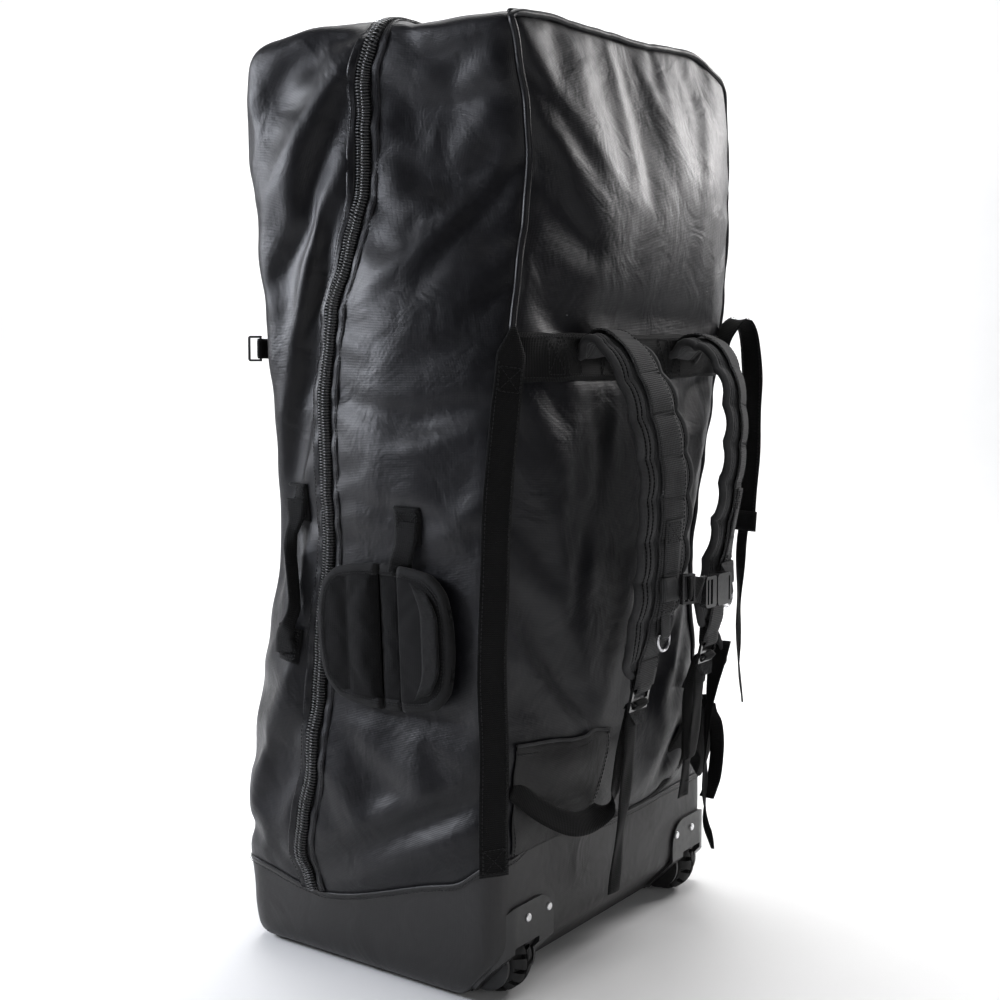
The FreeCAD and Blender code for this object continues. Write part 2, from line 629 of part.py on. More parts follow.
def front_ring():
    """Rectangular wire ring held upright at the edge of the front face, pointing out."""
    reach, half = RING_REACH, RING_H / 2
    outer = box(-RING_WIRE / 2, reach, -RING_WIRE / 2, RING_WIRE / 2, -half, half)
    outer = fillet_where(outer, 3.0, lambda e: is_along(e, Y_AXIS) and e.BoundBox.XMin > 1)
    inner = box(RING_WIRE / 2, reach - RING_WIRE, -5, 5, RING_WIRE - half, half - RING_WIRE)
    ring = turned(outer.cut(inner), 120, Z_AXIS)
    return moved(ring, RING_X, RING_Y, RING_Z)


def front_ring_tab():
    """Folded webbing on the front face with the ring's bar inside its loop."""
    half = RING_H / 2 - RING_WIRE - 0.8
    sleeve = rod(4.4, 2 * half, V(RING_X, RING_Y, RING_Z - half), Z_AXIS)
    tail = box(RING_X, RING_X + 46, RING_Y - 4.4, RING_Y - 2.4, RING_Z - half, RING_Z + half)
    body = sleeve.fuse(tail).removeSplitter()
    return body.cut(rod(2.6, 2 * half, V(RING_X, RING_Y, RING_Z - half), Z_AXIS))


def main():
    os.makedirs(OUT, exist_ok=True)
    for name in os.listdir(OUT):
        if name.endswith(".step"):
            os.remove(os.path.join(OUT, name))
    parts = {}
    parts.update(bag_parts())
    parts.update(stiffeners())
    parts["back_piping"] = back_piping()
    parts["harness_pocket"] = harness_pocket()
    parts["rivets"] = rivets()
    parts["yoke_band"] = yoke_band()
    parts["corner_strap_left"] = corner_strap_left()
    parts["corner_strap_right"] = Part.makeCompound([corner_strap_right(), corner_strap_tail()])
    parts["chest_triglide"] = triglide()
    parts["chest_socket"] = buckle_socket()
    parts["chest_plug"] = buckle_plug()
    parts["waist_band"] = waist_band()
    parts["waist_wing"] = waist_wing()
    parts["waist_webbing"] = Part.makeCompound([waist_tail(), waist_loop()])
    parts["front_handle_patches"] = patches(FRONT_HANDLE_Y, FRONT_PATCH_Z)
    parts["back_handle_patches"] = patches(BACK_HANDLE_Y, BACK_PATCH_Z)
    parts["front_handle_loop"] = handle_loop(FRONT_HANDLE_Y, FRONT_PATCH_Z, 6.0, HANDLE_BOW)
    parts["back_handle_loop"] = handle_loop(BACK_HANDLE_Y, BACK_PATCH_Z, 0.0, 0.0)
    core = WRAP_CORE_W / 2
    crease = BACK_HANDLE_Y + 18
    parts["wrap_core"] = wrap_slice(crease - core, crease + core)
    parts["wrap_flap_front"] = wrap_slice(crease + core + 0.4, BIG)
    parts["wrap_flap_back"] = wrap_slice(-BIG, crease - core - 0.4)
    parts["front_ring"] = front_ring()
    parts["front_ring_tab"] = front_ring_tab()
    for side, word in ((-1, "left"), (1, "right")):
        parts["wheel_housing_" + word] = housing(side)
        parts["tyre_" + word] = tyre(side)
        parts["hub_" + word] = hub(side)
        parts["bush_" + word] = bush(side)
        parts["axle_" + word] = axle(side)
        parts["zip_slider_" + word] = zip_slider(side)
        parts["zip_pull_" + word] = zip_pull(side)
        parts["shoulder_pad_" + word] = shoulder_pad(side)
        parts["pad_overlay_" + word] = Part.makeCompound([pad_overlay(side), lock_loop(side)])
        parts["pad_tabs_" + word] = Part.makeCompound([overlay_tab(side), ring_loop(side)])
        parts["d_ring_" + word] = d_ring(side)
        parts["ladder_lock_" + word] = ladder_lock(side)
        parts["chest_webbing_" + word] = Part.makeCompound([chest_loop(side), chest_strip(side)])
        parts["adjuster_" + word] = adjuster(side)
        parts["adjuster_tail_" + word] = adjuster_tail(side)
    for name, shape in parts.items():
        solids = shape.Solids
        good = shape.isValid() and solids
        print(name, len(solids), "ok" if good else "BAD", round(shape.Volume / 1000, 1), "cm3")
        shape.exportStep(os.path.join(OUT, name + ".step"))


main()
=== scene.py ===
import math
import random

import bmesh
import bpy
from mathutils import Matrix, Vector
from mathutils.bvhtree import BVHTree


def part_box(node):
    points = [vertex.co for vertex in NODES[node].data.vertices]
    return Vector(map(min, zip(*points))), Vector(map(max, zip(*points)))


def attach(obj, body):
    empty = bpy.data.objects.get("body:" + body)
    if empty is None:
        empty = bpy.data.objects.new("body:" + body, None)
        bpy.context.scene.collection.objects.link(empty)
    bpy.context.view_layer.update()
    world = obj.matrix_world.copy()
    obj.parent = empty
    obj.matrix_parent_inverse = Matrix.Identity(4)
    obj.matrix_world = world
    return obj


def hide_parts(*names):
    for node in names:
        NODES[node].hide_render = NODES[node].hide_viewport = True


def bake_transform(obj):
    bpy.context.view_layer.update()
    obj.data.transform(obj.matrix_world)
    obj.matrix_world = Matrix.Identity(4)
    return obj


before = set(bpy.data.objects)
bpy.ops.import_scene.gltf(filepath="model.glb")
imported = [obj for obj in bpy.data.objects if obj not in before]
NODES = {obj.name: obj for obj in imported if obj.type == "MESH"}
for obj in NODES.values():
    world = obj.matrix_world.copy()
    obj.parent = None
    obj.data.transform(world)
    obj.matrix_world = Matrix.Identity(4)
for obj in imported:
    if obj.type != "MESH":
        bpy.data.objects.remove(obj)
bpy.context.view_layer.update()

random.seed(7)

# ------------------------------------------------------------------ sizes taken from the frame
HY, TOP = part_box("base_boot")[1].y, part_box("back_shell")[1].z
BAND_LO, BAND_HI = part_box("yoke_band")
X, Y, Z = Vector((1, 0, 0)), Vector((0, 1, 0)), Vector((0, 0, 1))


def lerp(a, b, t):
    return a + (b - a) * t


def clamp(v, lo=0.0, hi=1.0):
    return max(lo, min(hi, v))


def ease(t):
    t = clamp(t)
    return t * t * (3 - 2 * t)


def table(points, v):
    """Smooth value of a short (position, value) table at v."""
    if v <= points[0][0]:
        return points[0][1]
    for (p, a), (q, b) in zip(points, points[1:]):
        if v <= q:
            return lerp(a, b, ease((v - p) / (q - p)))
    return points[-1][1]


# ------------------------------------------------------------------ materials
class Shader:
    """A small node-graph writer."""

    def __init__(self, name, color, rough=0.6, metallic=0.0, spec=0.5, sheen=0.0, coat=0.0):
        self.m = bpy.data.materials.new(name)
        self.m.use_nodes = True
        self.t = self.m.node_tree
        self.b = self.t.nodes["Principled BSDF"]
        self.b.inputs["Base Color"].default_value = (*color, 1)
        self.b.inputs["Roughness"].default_value = rough
        self.b.inputs["Metallic"].default_value = metallic
        self.b.inputs["Specular IOR Level"].default_value = spec
        self.b.inputs["Sheen Weight"].default_value = sheen
        self.b.inputs["Sheen Roughness"].default_value = 0.4
        self.b.inputs["Coat Weight"].default_value = coat
        self.b.inputs["Coat Roughness"].default_value = 0.3
        self.normal = None

    def node(self, kind, **inputs):
        n = self.t.nodes.new(kind)
        for key, value in inputs.items():
            socket = n.inputs[key.replace("_", " ")] if key.replace("_", " ") in n.inputs else None
            if socket is None:
                setattr(n, key, value)
            elif isinstance(value, bpy.types.NodeSocket):
                self.t.links.new(value, socket)
            else:
                socket.default_value = value
        return n

    def coords(self, kind="Object", scale=(1, 1, 1), rotation=(0, 0, 0)):
        source = self.t.nodes.new("ShaderNodeTexCoord").outputs[kind]
        mapping = self.node("ShaderNodeMapping", Vector=source)
        mapping.inputs["Scale"].default_value = scale
        mapping.inputs["Rotation"].default_value = rotation
        return mapping.outputs["Vector"]

    def noise(self, scale, detail=3.0, rough=0.55, distortion=0.0, coords=None):
        n = self.node("ShaderNodeTexNoise", Vector=coords or self.coords())
        n.inputs["Scale"].default_value = scale
        n.inputs["Detail"].default_value = detail
        n.inputs["Roughness"].default_value = rough
        n.inputs["Distortion"].default_value = distortion
        return n.outputs["Fac"]

    def wave(self, scale, direction="X", coords=None, distortion=0.0, profile="SIN"):
        n = self.node("ShaderNodeTexWave", Vector=coords or self.coords("UV"))
        n.wave_type = "BANDS"
        n.bands_direction = direction
        n.wave_profile = profile
        n.inputs["Scale"].default_value = scale
        n.inputs["Distortion"].default_value = distortion
        return n.outputs["Fac"]

    def remap(self, value, lo, hi, a=0.0, b=1.0):
        n = self.node("ShaderNodeMapRange", Value=value)
        for key, v in (("From Min", lo), ("From Max", hi), ("To Min", a), ("To Max", b)):
            n.inputs[key].default_value = v
        return n.outputs["Result"]

    def math(self, op, a, b):
        n = self.t.nodes.new("ShaderNodeMath")
        n.operation = op
        for socket, v in ((n.inputs[0], a), (n.inputs[1], b)):
            if isinstance(v, bpy.types.NodeSocket):
                self.t.links.new(v, socket)
            else:
                socket.default_value = v
        return n.outputs[0]

    def color(self, fac, *stops):
        """Colour ramp from (position, (r, g, b)) stops."""
        n = self.node("ShaderNodeValToRGB", Fac=fac)
        ramp = n.color_ramp
        while len(ramp.elements) < len(stops):
            ramp.elements.new(0.5)
        for element, (position, rgb) in zip(ramp.elements, stops):
            element.position = position
            element.color = (*rgb, 1)
        return n.outputs["Color"]

    def base(self, socket):
        self.t.links.new(socket, self.b.inputs["Base Color"])

    def rough(self, socket):
        self.t.links.new(socket, self.b.inputs["Roughness"])

    def bump(self, height, distance, strength=1.0):
        n = self.node("ShaderNodeBump", Height=height)
        n.inputs["Distance"].default_value = distance
        n.inputs["Strength"].default_value = strength
        if self.normal is not None:
            self.t.links.new(self.normal, n.inputs["Normal"])
        self.normal = n.outputs["Normal"]
        self.t.links.new(self.normal, self.b.inputs["Normal"])


def tint(color, k):
    return tuple(clamp(c * k) for c in color)


def woven(name, color, rough, pitch, spec=0.4, crinkle=0.0, dust=1.35, sheen=0.0, weave=0.00025):
    """Plain-weave fabric: threads from the UVs (in metres), crinkles and wear from object space."""
    s = Shader(name, color, rough, spec=spec, sheen=sheen)
    cloud = s.noise(7.0, 5.0, 0.6)
    fine = s.noise(160.0, 2.0)
    s.base(s.color(s.math("ADD", s.math("MULTIPLY", cloud, 0.75), s.math("MULTIPLY", fine, 0.25)),
                   (0.3, tint(color, 0.72)), (0.5, color), (0.72, tint(color, dust))))
    s.rough(s.remap(s.math("ADD", s.math("MULTIPLY", cloud, 0.6), s.math("MULTIPLY", fine, 0.4)),
                    0.3, 0.7, rough - 0.07, rough + 0.08))
    if crinkle:
        folds = s.noise(17.0, 3.0, 0.55, 0.7)
        s.bump(folds, crinkle * 2.4, 0.5)
        ridges = s.noise(60.0, 2.0, 0.5, 0.9)
        s.bump(ridges, crinkle * 0.22, 0.4)
    k = 0.3142 / pitch
    weft, warp = s.wave(k, "X"), s.wave(k, "Y")
    s.bump(s.math("MULTIPLY", weft, warp), weave, 0.5)
    return s.m


def ribbed(name, color, pitch=0.0021, depth=0.0005):
    """Webbing: ribs across the band, a herringbone of ends along it, fuzzy and dull."""
    s = Shader(name, color, 0.82, spec=0.18, sheen=0.04)
    uv = s.coords("UV")
    ribs = s.wave(0.3142 / pitch, "X", uv)
    ends = s.wave(0.3142 / (pitch * 1.15), "Y", uv)
    cloud = s.noise(45.0, 3.0)
    s.base(s.color(s.math("ADD", s.math("MULTIPLY", ribs, 0.35), s.math("MULTIPLY", cloud, 0.65)),
                   (0.25, tint(color, 0.6)), (0.55, color), (0.85, tint(color, 1.7))))
    s.bump(s.math("ADD", s.math("MULTIPLY", ribs, 0.7), s.math("MULTIPLY", ends, 0.3)), depth, 0.7)
    s.bump(s.noise(900.0, 2.0), 0.0002, 0.4)
    return s.m


def plastic(name, color, rough, grain=0.00012, spec=0.5):
    s = Shader(name, color, rough, spec=spec)
    cloud = s.noise(35.0, 4.0)
    s.base(s.color(cloud, (0.3, tint(color, 0.8)), (0.7, tint(color, 1.25))))
    s.rough(s.remap(s.noise(110.0, 3.0), 0.3, 0.7, rough - 0.06, rough + 0.08))
    s.bump(s.noise(1400.0, 2.0), grain, 0.5)
    return s.m


def metal(name, color, rough):
    s = Shader(name, color, rough, metallic=1.0)
    cloud = s.noise(120.0, 4.0)
    s.base(s.color(cloud, (0.3, tint(color, 0.85)), (0.7, color)))
    s.rough(s.remap(s.noise(300.0, 3.0), 0.3, 0.7, rough - 0.06, rough + 0.1))
    s.bump(s.noise(900.0, 2.0), 0.00006, 0.4)
    return s.m


def rubber(name, color):
    s = Shader(name, color, 0.7, spec=0.35)
    dust = s.noise(90.0, 5.0, 0.65)
    s.base(s.color(dust, (0.35, tint(color, 0.7)), (0.55, color), (0.75, tint(color, 2.2))))
    s.rough(s.remap(dust, 0.3, 0.7, 0.6, 0.85))
    s.bump(s.noise(1100.0, 3.0), 0.0002, 0.5)
    return s.m


M = {
    "shell": woven("shell_weave", (0.0052, 0.0052, 0.0068), 0.39, 0.0016, 0.27, 0.0022, 1.5),
    "panel": woven("panel_weave", (0.0060, 0.0057, 0.0060), 0.46, 0.0016, 0.24, 0.0018, 1.5),
    "boot": woven("boot_coat", (0.0150, 0.0145, 0.0150), 0.44, 0.0020, 0.34, 0.0018, 1.5, weave=0.00015),
    "lining": woven("lining_weave", (0.05, 0.05, 0.053), 0.7, 0.0022, 0.3, 0.001, 1.3),
    "pad": woven("pad_cordura", (0.0460, 0.0460, 0.0475), 0.74, 0.0030, 0.25, 0.0006, 1.8, 0.06, 0.0005),
    "wrap": woven("wrap_cordura", (0.0050, 0.0050, 0.0053), 0.78, 0.0026, 0.10, 0.0008, 1.7,
                  0.06, 0.0004),
    "web": ribbed("webbing_rib", (0.0022, 0.0022, 0.0024)),
    "band": ribbed("harness_webbing_rib", (0.0340, 0.0340, 0.0350), 0.0021, 0.0007),
    "bind": ribbed("binding_rib", (0.0360, 0.0360, 0.0372), 0.0012, 0.00025),
    "rim": ribbed("wrap_binding_rib", (0.0120, 0.0120, 0.0125), 0.0012, 0.00025),
    "tape": ribbed("zip_tape_rib", (0.0022, 0.0022, 0.0024), 0.0011, 0.0002),
    "thread": ribbed("sewing_thread", (0.022, 0.022, 0.023), 0.0008, 0.0001),
    "coil": plastic("zip_coil_nylon", (0.017, 0.017, 0.0175), 0.30, 0.00005, 0.7),
    "mould": plastic("moulded_black", (0.011, 0.011, 0.0115), 0.36),
    "buckle": plastic("buckle_acetal", (0.012, 0.012, 0.0125), 0.17, 0.00003, 1.0),
    "board": plastic("board_sheet", (0.05, 0.05, 0.052), 0.6),
    "steel": metal("ring_steel", (0.62, 0.62, 0.64), 0.28),
    "alloy": metal("rivet_alloy", (0.8, 0.8, 0.81), 0.3),
    "dark": metal("dark_lacquer", (0.06, 0.06, 0.062), 0.35),
    "tyre": rubber("tyre_rubber", (0.009, 0.009, 0.009)),
    "velcro": ribbed("velcro_pile", (0.0085, 0.0085, 0.0090), 0.0014, 0.0012),
}


# ------------------------------------------------------------------ mesh helpers
def make(name, verts, faces, material, uvs=None, smooth=True):
    me = bpy.data.meshes.new(name)
    me.from_pydata([tuple(v) for v in verts], [], faces)
    me.update()
    if uvs is not None:
        layer = me.uv_layers.new(name="UVMap")
        for loop in me.loops:
            layer.data[loop.index].uv = uvs[loop.vertex_index]
    if smooth:
        me.polygons.foreach_set("use_smooth", [True] * len(me.polygons))
    o = bpy.data.objects.new(name, me)
    bpy.context.scene.collection.objects.link(o)
    me.materials.append(M[material] if isinstance(material, str) else material)
    return o


def ring_faces(start, rings, m):
    """Faces of a tube made of rings of m vertices, with its two end caps."""
    faces = []
    for i in range(rings - 1):
        for j in range(m):
            a, b = start + i * m + j, start + i * m + (j + 1) % m
            faces.append((a, b, b + m, a + m))
    faces.append(tuple(start + j for j in reversed(range(m))))
    faces.append(tuple(start + (rings - 1) * m + j for j in range(m)))
    return faces


def grid_faces(rows, across):
    """Faces of a grid of points laid out row by row."""
    faces = []
    for r in range(rows):
        for c in range(across):
            a = r * (across + 1) + c
            faces.append((a, a + 1, a + across + 2, a + across + 1))
    return faces


def finish_normals(o):
    bm = bmesh.new()
    bm.from_mesh(o.data)
    bmesh.ops.recalc_face_normals(bm, faces=bm.faces)
    bm.to_mesh(o.data)
    bm.free()
    o.data.update()


def apply_modifiers(o):
    dg = bpy.context.evaluated_depsgraph_get()
    dg.update()
    me = bpy.data.meshes.new_from_object(o.evaluated_get(dg), preserve_all_data_layers=True,
                                         depsgraph=dg)
    old = o.data
    o.modifiers.clear()
    o.data = me
    bpy.data.meshes.remove(old)
    return o


def subdivide(o, levels=1):
    mod = o.modifiers.new("Subdivision", "SUBSURF")
    mod.levels = mod.render_levels = levels
    return apply_modifiers(o)


def resample(points, step):
    """Even points along a Catmull-Rom line through the given ones."""
    pts = [Vector(p) for p in points]
    dense = []
    ext = [pts[0] * 2 - pts[1]] + pts + [pts[-1] * 2 - pts[-2]]
    for a, b, c, d in zip(ext, ext[1:], ext[2:], ext[3:]):
        n = max(4, int((c - b).length / step * 2))
        for i in range(n):
            t = i / n
            dense.append(0.5 * (2 * b + (c - a) * t + (2 * a - 5 * b + 4 * c - d) * t * t
                                + (3 * b - a - 3 * c + d) * t ** 3))
    dense.append(pts[-1])
    total = [0.0]
    for p, q in zip(dense, dense[1:]):
        total.append(total[-1] + (q - p).length)
    count = max(2, int(round(total[-1] / step)))
    out, k = [], 0
    for i in range(count + 1):
        want = total[-1] * i / count
        while k < len(total) - 2 and total[k + 1] < want:
            k += 1
        span = max(1e-9, total[k + 1] - total[k])
        out.append(dense[k].lerp(dense[k + 1], (want - total[k]) / span))
    return out


def tangents(points):
    out = []
    for i in range(len(points)):
        a, b = points[max(0, i - 1)], points[min(len(points) - 1, i + 1)]
        out.append((b - a).normalized())
    return out


def blend_vectors(vectors, count):
    """Spreads a few direction vectors evenly along count samples."""
    if isinstance(vectors, Vector):
        return [vectors] * count
    out = []
    for i in range(count):
        t = i / (count - 1) * (len(vectors) - 1)
        k = min(int(t), len(vectors) - 2)
        out.append(Vector(vectors[k]).lerp(Vector(vectors[k + 1]), ease(t - k)))
    return out


def strap(name, points, across, width, thick=0.0018, material="web", step=0.006, sides=6,
          edge=0.35, wobble=0.0):
    """Flat webbing along the points: rounded selvedges, ends closed, UVs in metres."""
    line = resample(points, step)
    wide = blend_vectors(across, len(line))
    widths = width if callable(width) else (lambda t: width)
    ring = []
    for i in range(sides + 1):
        a = -1 + 2 * i / sides
        ring.append((a, 0.5 * (1 if abs(a) < 0.9 else edge)))
    ring = ring + [(a, -h) for a, h in reversed(ring)]
    verts, uvs, faces = [], [], []
    run = 0.0
    for i, (p, t, w) in enumerate(zip(line, tangents(line), wide)):
        if i:
            run += (p - line[i - 1]).length
        w = (w - t * w.dot(t)).normalized()
        n = t.cross(w).normalized()
        half = widths(i / (len(line) - 1)) / 2
        for a, h in ring:
            lift = wobble * math.sin(run * 70 + a * 2.0) if wobble else 0.0
            verts.append(p + w * (a * half) + n * (h * thick + lift))
            uvs.append((run, a * half))
    m = len(ring)
    for i in range(len(line) - 1):
        for j in range(m):
            a, b = i * m + j, i * m + (j + 1) % m
            faces.append((a, b, b + m, a + m))
    faces.append(tuple(reversed(range(m))))
    faces.append(tuple(range(len(verts) - m, len(verts))))
    o = make(name, verts, faces, material, uvs)
    finish_normals(o)
    return o


def tube(name, points, radius, material, step=0.005, sides=8, squash=1.0):
    """A round cord along a line."""
    line = resample(points, step)
    verts, uvs = [], []
    n = None
    run = 0.0
    for i, (p, t) in enumerate(zip(line, tangents(line))):
        if i:
            run += (p - line[i - 1]).length
        if n is None:
            n = t.orthogonal().normalized()
        n = (n - t * n.dot(t)).normalized()
        b = t.cross(n)
        for j in range(sides):
            a = 2 * math.pi * j / sides
            verts.append(p + (n * math.cos(a) + b * math.sin(a) * squash) * radius)
            uvs.append((run, j / sides * radius * 6))
    o = make(name, verts, ring_faces(0, len(line), sides), material, uvs)
    finish_normals(o)
    return o


def thread(name, lines, pitch=0.0042, gap=0.0012, radius=0.00042, material="thread"):
    """Sewing stitches: short rounded lengths of thread along each list of points."""
    verts, faces, uvs = [], [], []
    for points in lines:
        line = resample(points, pitch)
        for p, q in zip(line, line[1:]):
            d = q - p
            if d.length < 1e-6:
                continue
            d = d.normalized()
            a, b = p + d * gap * 0.5, q - d * gap * 0.5
            n = d.orthogonal().normalized()
            m = d.cross(n)
            start = len(verts)
            for centre, r in ((a, 0.5), (a.lerp(b, 0.25), 1.0), (a.lerp(b, 0.75), 1.0), (b, 0.5)):
                for k in range(5):
                    u = 2 * math.pi * k / 5
                    verts.append(centre + (n * math.cos(u) + m * math.sin(u)) * radius * r)
                    uvs.append((0.0, k * 0.001))
            faces += ring_faces(start, 4, 5)
    o = make(name, verts, faces, material, uvs)
    finish_normals(o)
    return o


class Surface:
    """The finished bag surface, for laying things on it."""

    def __init__(self, objects):
        verts, polys, normals = [], [], []
        for o in objects:
            start = len(verts)
            verts += [v.co.copy() for v in o.data.vertices]
            normals += [v.normal.copy() for v in o.data.vertices]
            polys += [[start + i for i in p.vertices] for p in o.data.polygons]
        self.verts, self.polys, self.normals = verts, polys, normals
        self.tree = BVHTree.FromPolygons(verts, polys)

    def snap(self, p, lift=0.0):
        hit, _, index, _ = self.tree.find_nearest(Vector(p))
        ids = self.polys[index]
        total, weight = Vector(), 0.0
        for i in ids:
            w = 1.0 / max(1e-6, (self.verts[i] - hit).length)
            total += self.normals[i] * w
            weight += w
        n = (total / weight).normalized()
        return hit + n * lift, n

    def line(self, points, step, lift=0.0):
        return [self.snap(p, lift)[0] for p in resample(points, step)]


def ride(o, body, *replaced, slot=None):
    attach(o, body)
    if replaced:
        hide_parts(*replaced)
    return o


def flex(o, fixed, moving, start, end, *replaced, slot):
    """Bakes a soft piece's transform into its mesh and hides the parts it replaces; it is not attached
    to a body and does not bend.
    """
    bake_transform(o)
    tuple(start)
    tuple(end)
    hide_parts(*replaced)


class Ribbon:
    """A band's centre line with its own directions: along t, across w, outward n = t x w."""

    def __init__(self, points, across, step=0.004):
        self.p = resample(points, step)
        self.t = tangents(self.p)
        wide = blend_vectors(across, len(self.p))
        self.w = [(w - t * w.dot(t)).normalized() for w, t in zip(wide, self.t)]
        self.n = [t.cross(w).normalized() for t, w in zip(self.t, self.w)]
        self.s = [0.0]
        for a, b in zip(self.p, self.p[1:]):
            self.s.append(self.s[-1] + (b - a).length)
        self.length = self.s[-1]

    def frame(self, s):
        s = clamp(s, 0.0, self.length)
        f = s / self.length * (len(self.p) - 1)
        k = min(int(f), len(self.p) - 2)
        f -= k
        return [v[k].lerp(v[k + 1], f) for v in (self.p, self.t, self.w, self.n)]

    def at(self, s, a=0.0, h=0.0):
        p, _, w, n = self.frame(s)
        return p + w * a + n * h

    def line(self, s0, s1, a=0.0, h=0.0, step=0.004):
        count = max(2, int(abs(s1 - s0) / step))
        height = h if callable(h) else (lambda s: h)
        offset = a if callable(a) else (lambda s: a)
        out = []
        for i in range(count + 1):
            s = lerp(s0, s1, i / count)
            out.append(self.at(s, offset(s), height(s)))
        return out


# ------------------------------------------------------------------ camera, floor and light
def stage():
    cam = bpy.data.cameras.new("photo_view")
    cam.lens, cam.sensor_width = 50, 36
    eye = bpy.data.objects.new("photo_view", cam)
    eye.location = (-1.303, -0.927, 0.611)
    yaw, tilt = math.radians(54.89), math.radians(4.58)
    look = Vector((math.sin(yaw) * math.cos(tilt), math.cos(yaw) * math.cos(tilt), -math.sin(tilt)))
    eye.rotation_euler = look.to_track_quat("-Z", "Y").to_euler()
    bpy.context.scene.collection.objects.link(eye)
    bpy.context.scene.camera = eye

    floor_mat = Shader("studio_floor", (0.86, 0.86, 0.86), 0.8, spec=0.1)
    floor_mat.base(floor_mat.color(floor_mat.noise(3.0, 2.0), (0.3, (0.85,) * 3), (0.7, (0.88,) * 3)))
    size, back, rise, bend = 3.2, 2.6, 3.4, 0.9
    profile = [(-size, 0.0), (back - bend, 0.0)]
    for i in range(1, 13):
        a = math.pi / 2 * i / 12
        profile.append((back - bend + bend * math.sin(a), bend - bend * math.cos(a)))
    profile.append((back, rise))
    away = Vector((look.x, look.y, 0)).normalized()
    side = Vector((away.y, -away.x, 0))
    verts = [away * d + side * s + Z * (h - 0.0005) for d, h in profile for s in (-4.0, 4.0)]
    faces = [(2 * i, 2 * i + 1, 2 * i + 3, 2 * i + 2) for i in range(len(profile) - 1)]
    floor = make("studio_floor", verts, faces, floor_mat.m)

    def lamp(name, place, target, width, height, power, color=(1, 1, 1)):
        light = bpy.data.lights.new(name, "AREA")
        light.shape = "RECTANGLE"
        light.size, light.size_y, light.energy, light.color = width, height, power, color
        o = bpy.data.objects.new(name, light)
        o.location = place
        o.rotation_euler = (Vector(target) - Vector(place)).to_track_quat("-Z", "Y").to_euler()
        bpy.context.scene.collection.objects.link(o)

    lamp("key_side", (-1.85, 1.15, 1.50), (0, 0, 0.80), 0.9, 0.8, 3, (0.90, 0.93, 1.0))
    lamp("key_corner", (-1.18, 1.62, 1.16), (-0.23, 0.10, 0.82), 0.50, 0.46, 29, (0.86, 0.90, 1.0))
    lamp("key_front", (-0.9, 2.1, 1.2), (0, 0.1, 0.6), 0.6, 1.4, 20, (0.95, 0.96, 1.0))
    lamp("fill_harness", (2.0, -0.80, 1.50), (0.1, -0.1, 0.85), 0.9, 0.8, 28, (1.0, 0.98, 0.98))
    lamp("top", (0.1, -0.1, 2.9), (0, 0, 0.9), 2.2, 2.2, 46)
    lamp("front_low", (-1.2, -2.3, 0.8), (0, 0, 0.45), 1.6, 1.2, 9)
    lamp("sweep", (0.6, 0.4, 2.8), (2.0, 1.4, 0.8), 1.5, 1.5, 70)
    world = bpy.data.worlds.new("studio")
    world.use_nodes = True
    world.node_tree.nodes["Background"].inputs["Color"].default_value = (0.95, 0.96, 1.0, 1)
    world.node_tree.nodes["Background"].inputs["Strength"].default_value = 0.06
    bpy.context.scene.world = world
    bpy.context.scene.view_settings.view_transform = "Standard"


stage()


# ------------------------------------------------------------------ the bag's fabric
NX, NY, NZ = 44, 32, 96
J_ZIP, K_SEAM = 18, 10
ZIP_GAP = 0.0078
FLEX_FOOT = (0.085, 0.175)
NEAR_BACK = [(0.0, -0.226), (0.03, -0.231), (0.36, -0.235), (0.42, -0.231), (0.48, -0.226),
             (0.54, -0.220), (0.60, -0.210), (0.66, -0.200), (0.72, -0.190), (0.78, -0.178),
             (0.83, -0.171), (0.88, -0.176), (0.93, -0.190), (0.975, -0.203)]
NEAR_FRONT = [(0.0, -0.224), (0.05, -0.231), (0.12, -0.237), (0.18, -0.238), (0.24, -0.236),
              (0.30, -0.230), (0.36, -0.224), (0.42, -0.216), (0.48, -0.216), (0.54, -0.221),
              (0.60, -0.226), (0.66, -0.232), (0.72, -0.234), (0.78, -0.235), (0.83, -0.236),
              (0.93, -0.232), (0.975, -0.226)]
FAR_BACK = [(0.0, 0.200), (0.03, 0.207), (0.10, 0.213), (0.18, 0.212), (0.24, 0.203),
            (0.30, 0.190), (0.36, 0.181), (0.42, 0.183), (0.48, 0.196), (0.54, 0.213),
            (0.60, 0.231), (0.66, 0.246), (0.72, 0.258), (0.80, 0.267), (0.88, 0.265),
            (0.975, 0.257)]
FRONT_Y = [(0.0, 0.172), (0.06, 0.172), (0.18, 0.176), (0.34, 0.172), (0.46, 0.163), (0.58, 0.160),
           (0.70, 0.163), (0.78, 0.168), (0.90, 0.172), (0.99, 0.168)]
FAR_FRONT = [(0.0, 0.214), (0.06, 0.224), (0.18, 0.232), (0.30, 0.226), (0.42, 0.214),
             (0.55, 0.222), (0.70, 0.236), (0.85, 0.246), (0.975, 0.236)]
ZIP_LINE = [(0.04, 0.066), (0.076, 0.067), (0.113, 0.076), (0.16, 0.069), (0.21, 0.060),
            (0.262, 0.060), (0.35, 0.056), (0.439, 0.047), (0.523, 0.051), (0.607, 0.055),
            (0.69, 0.046), (0.75, 0.028), (0.809, 0.014), (0.918, 0.010), (0.973, -0.008)]
TOP_ALONG_Y = [(-0.167, 0.970), (-0.096, 0.977), (-0.034, 0.978), (-0.006, 0.974),
               (0.038, 0.986), (0.079, 0.999), (0.129, 0.997), (0.176, 0.989)]
TOP_ALONG_X = [(-0.22, 0.970), (-0.111, 0.981), (0.008, 0.987), (0.168, 1.001), (0.26, 0.982)]
SIDE_SEAM = [(-0.15, 0.124), (0.064, 0.078), (0.165, 0.097)]
FACE_SEAM = [(-0.20, 0.150), (-0.16, 0.163), (-0.013, 0.143), (0.20, 0.145)]
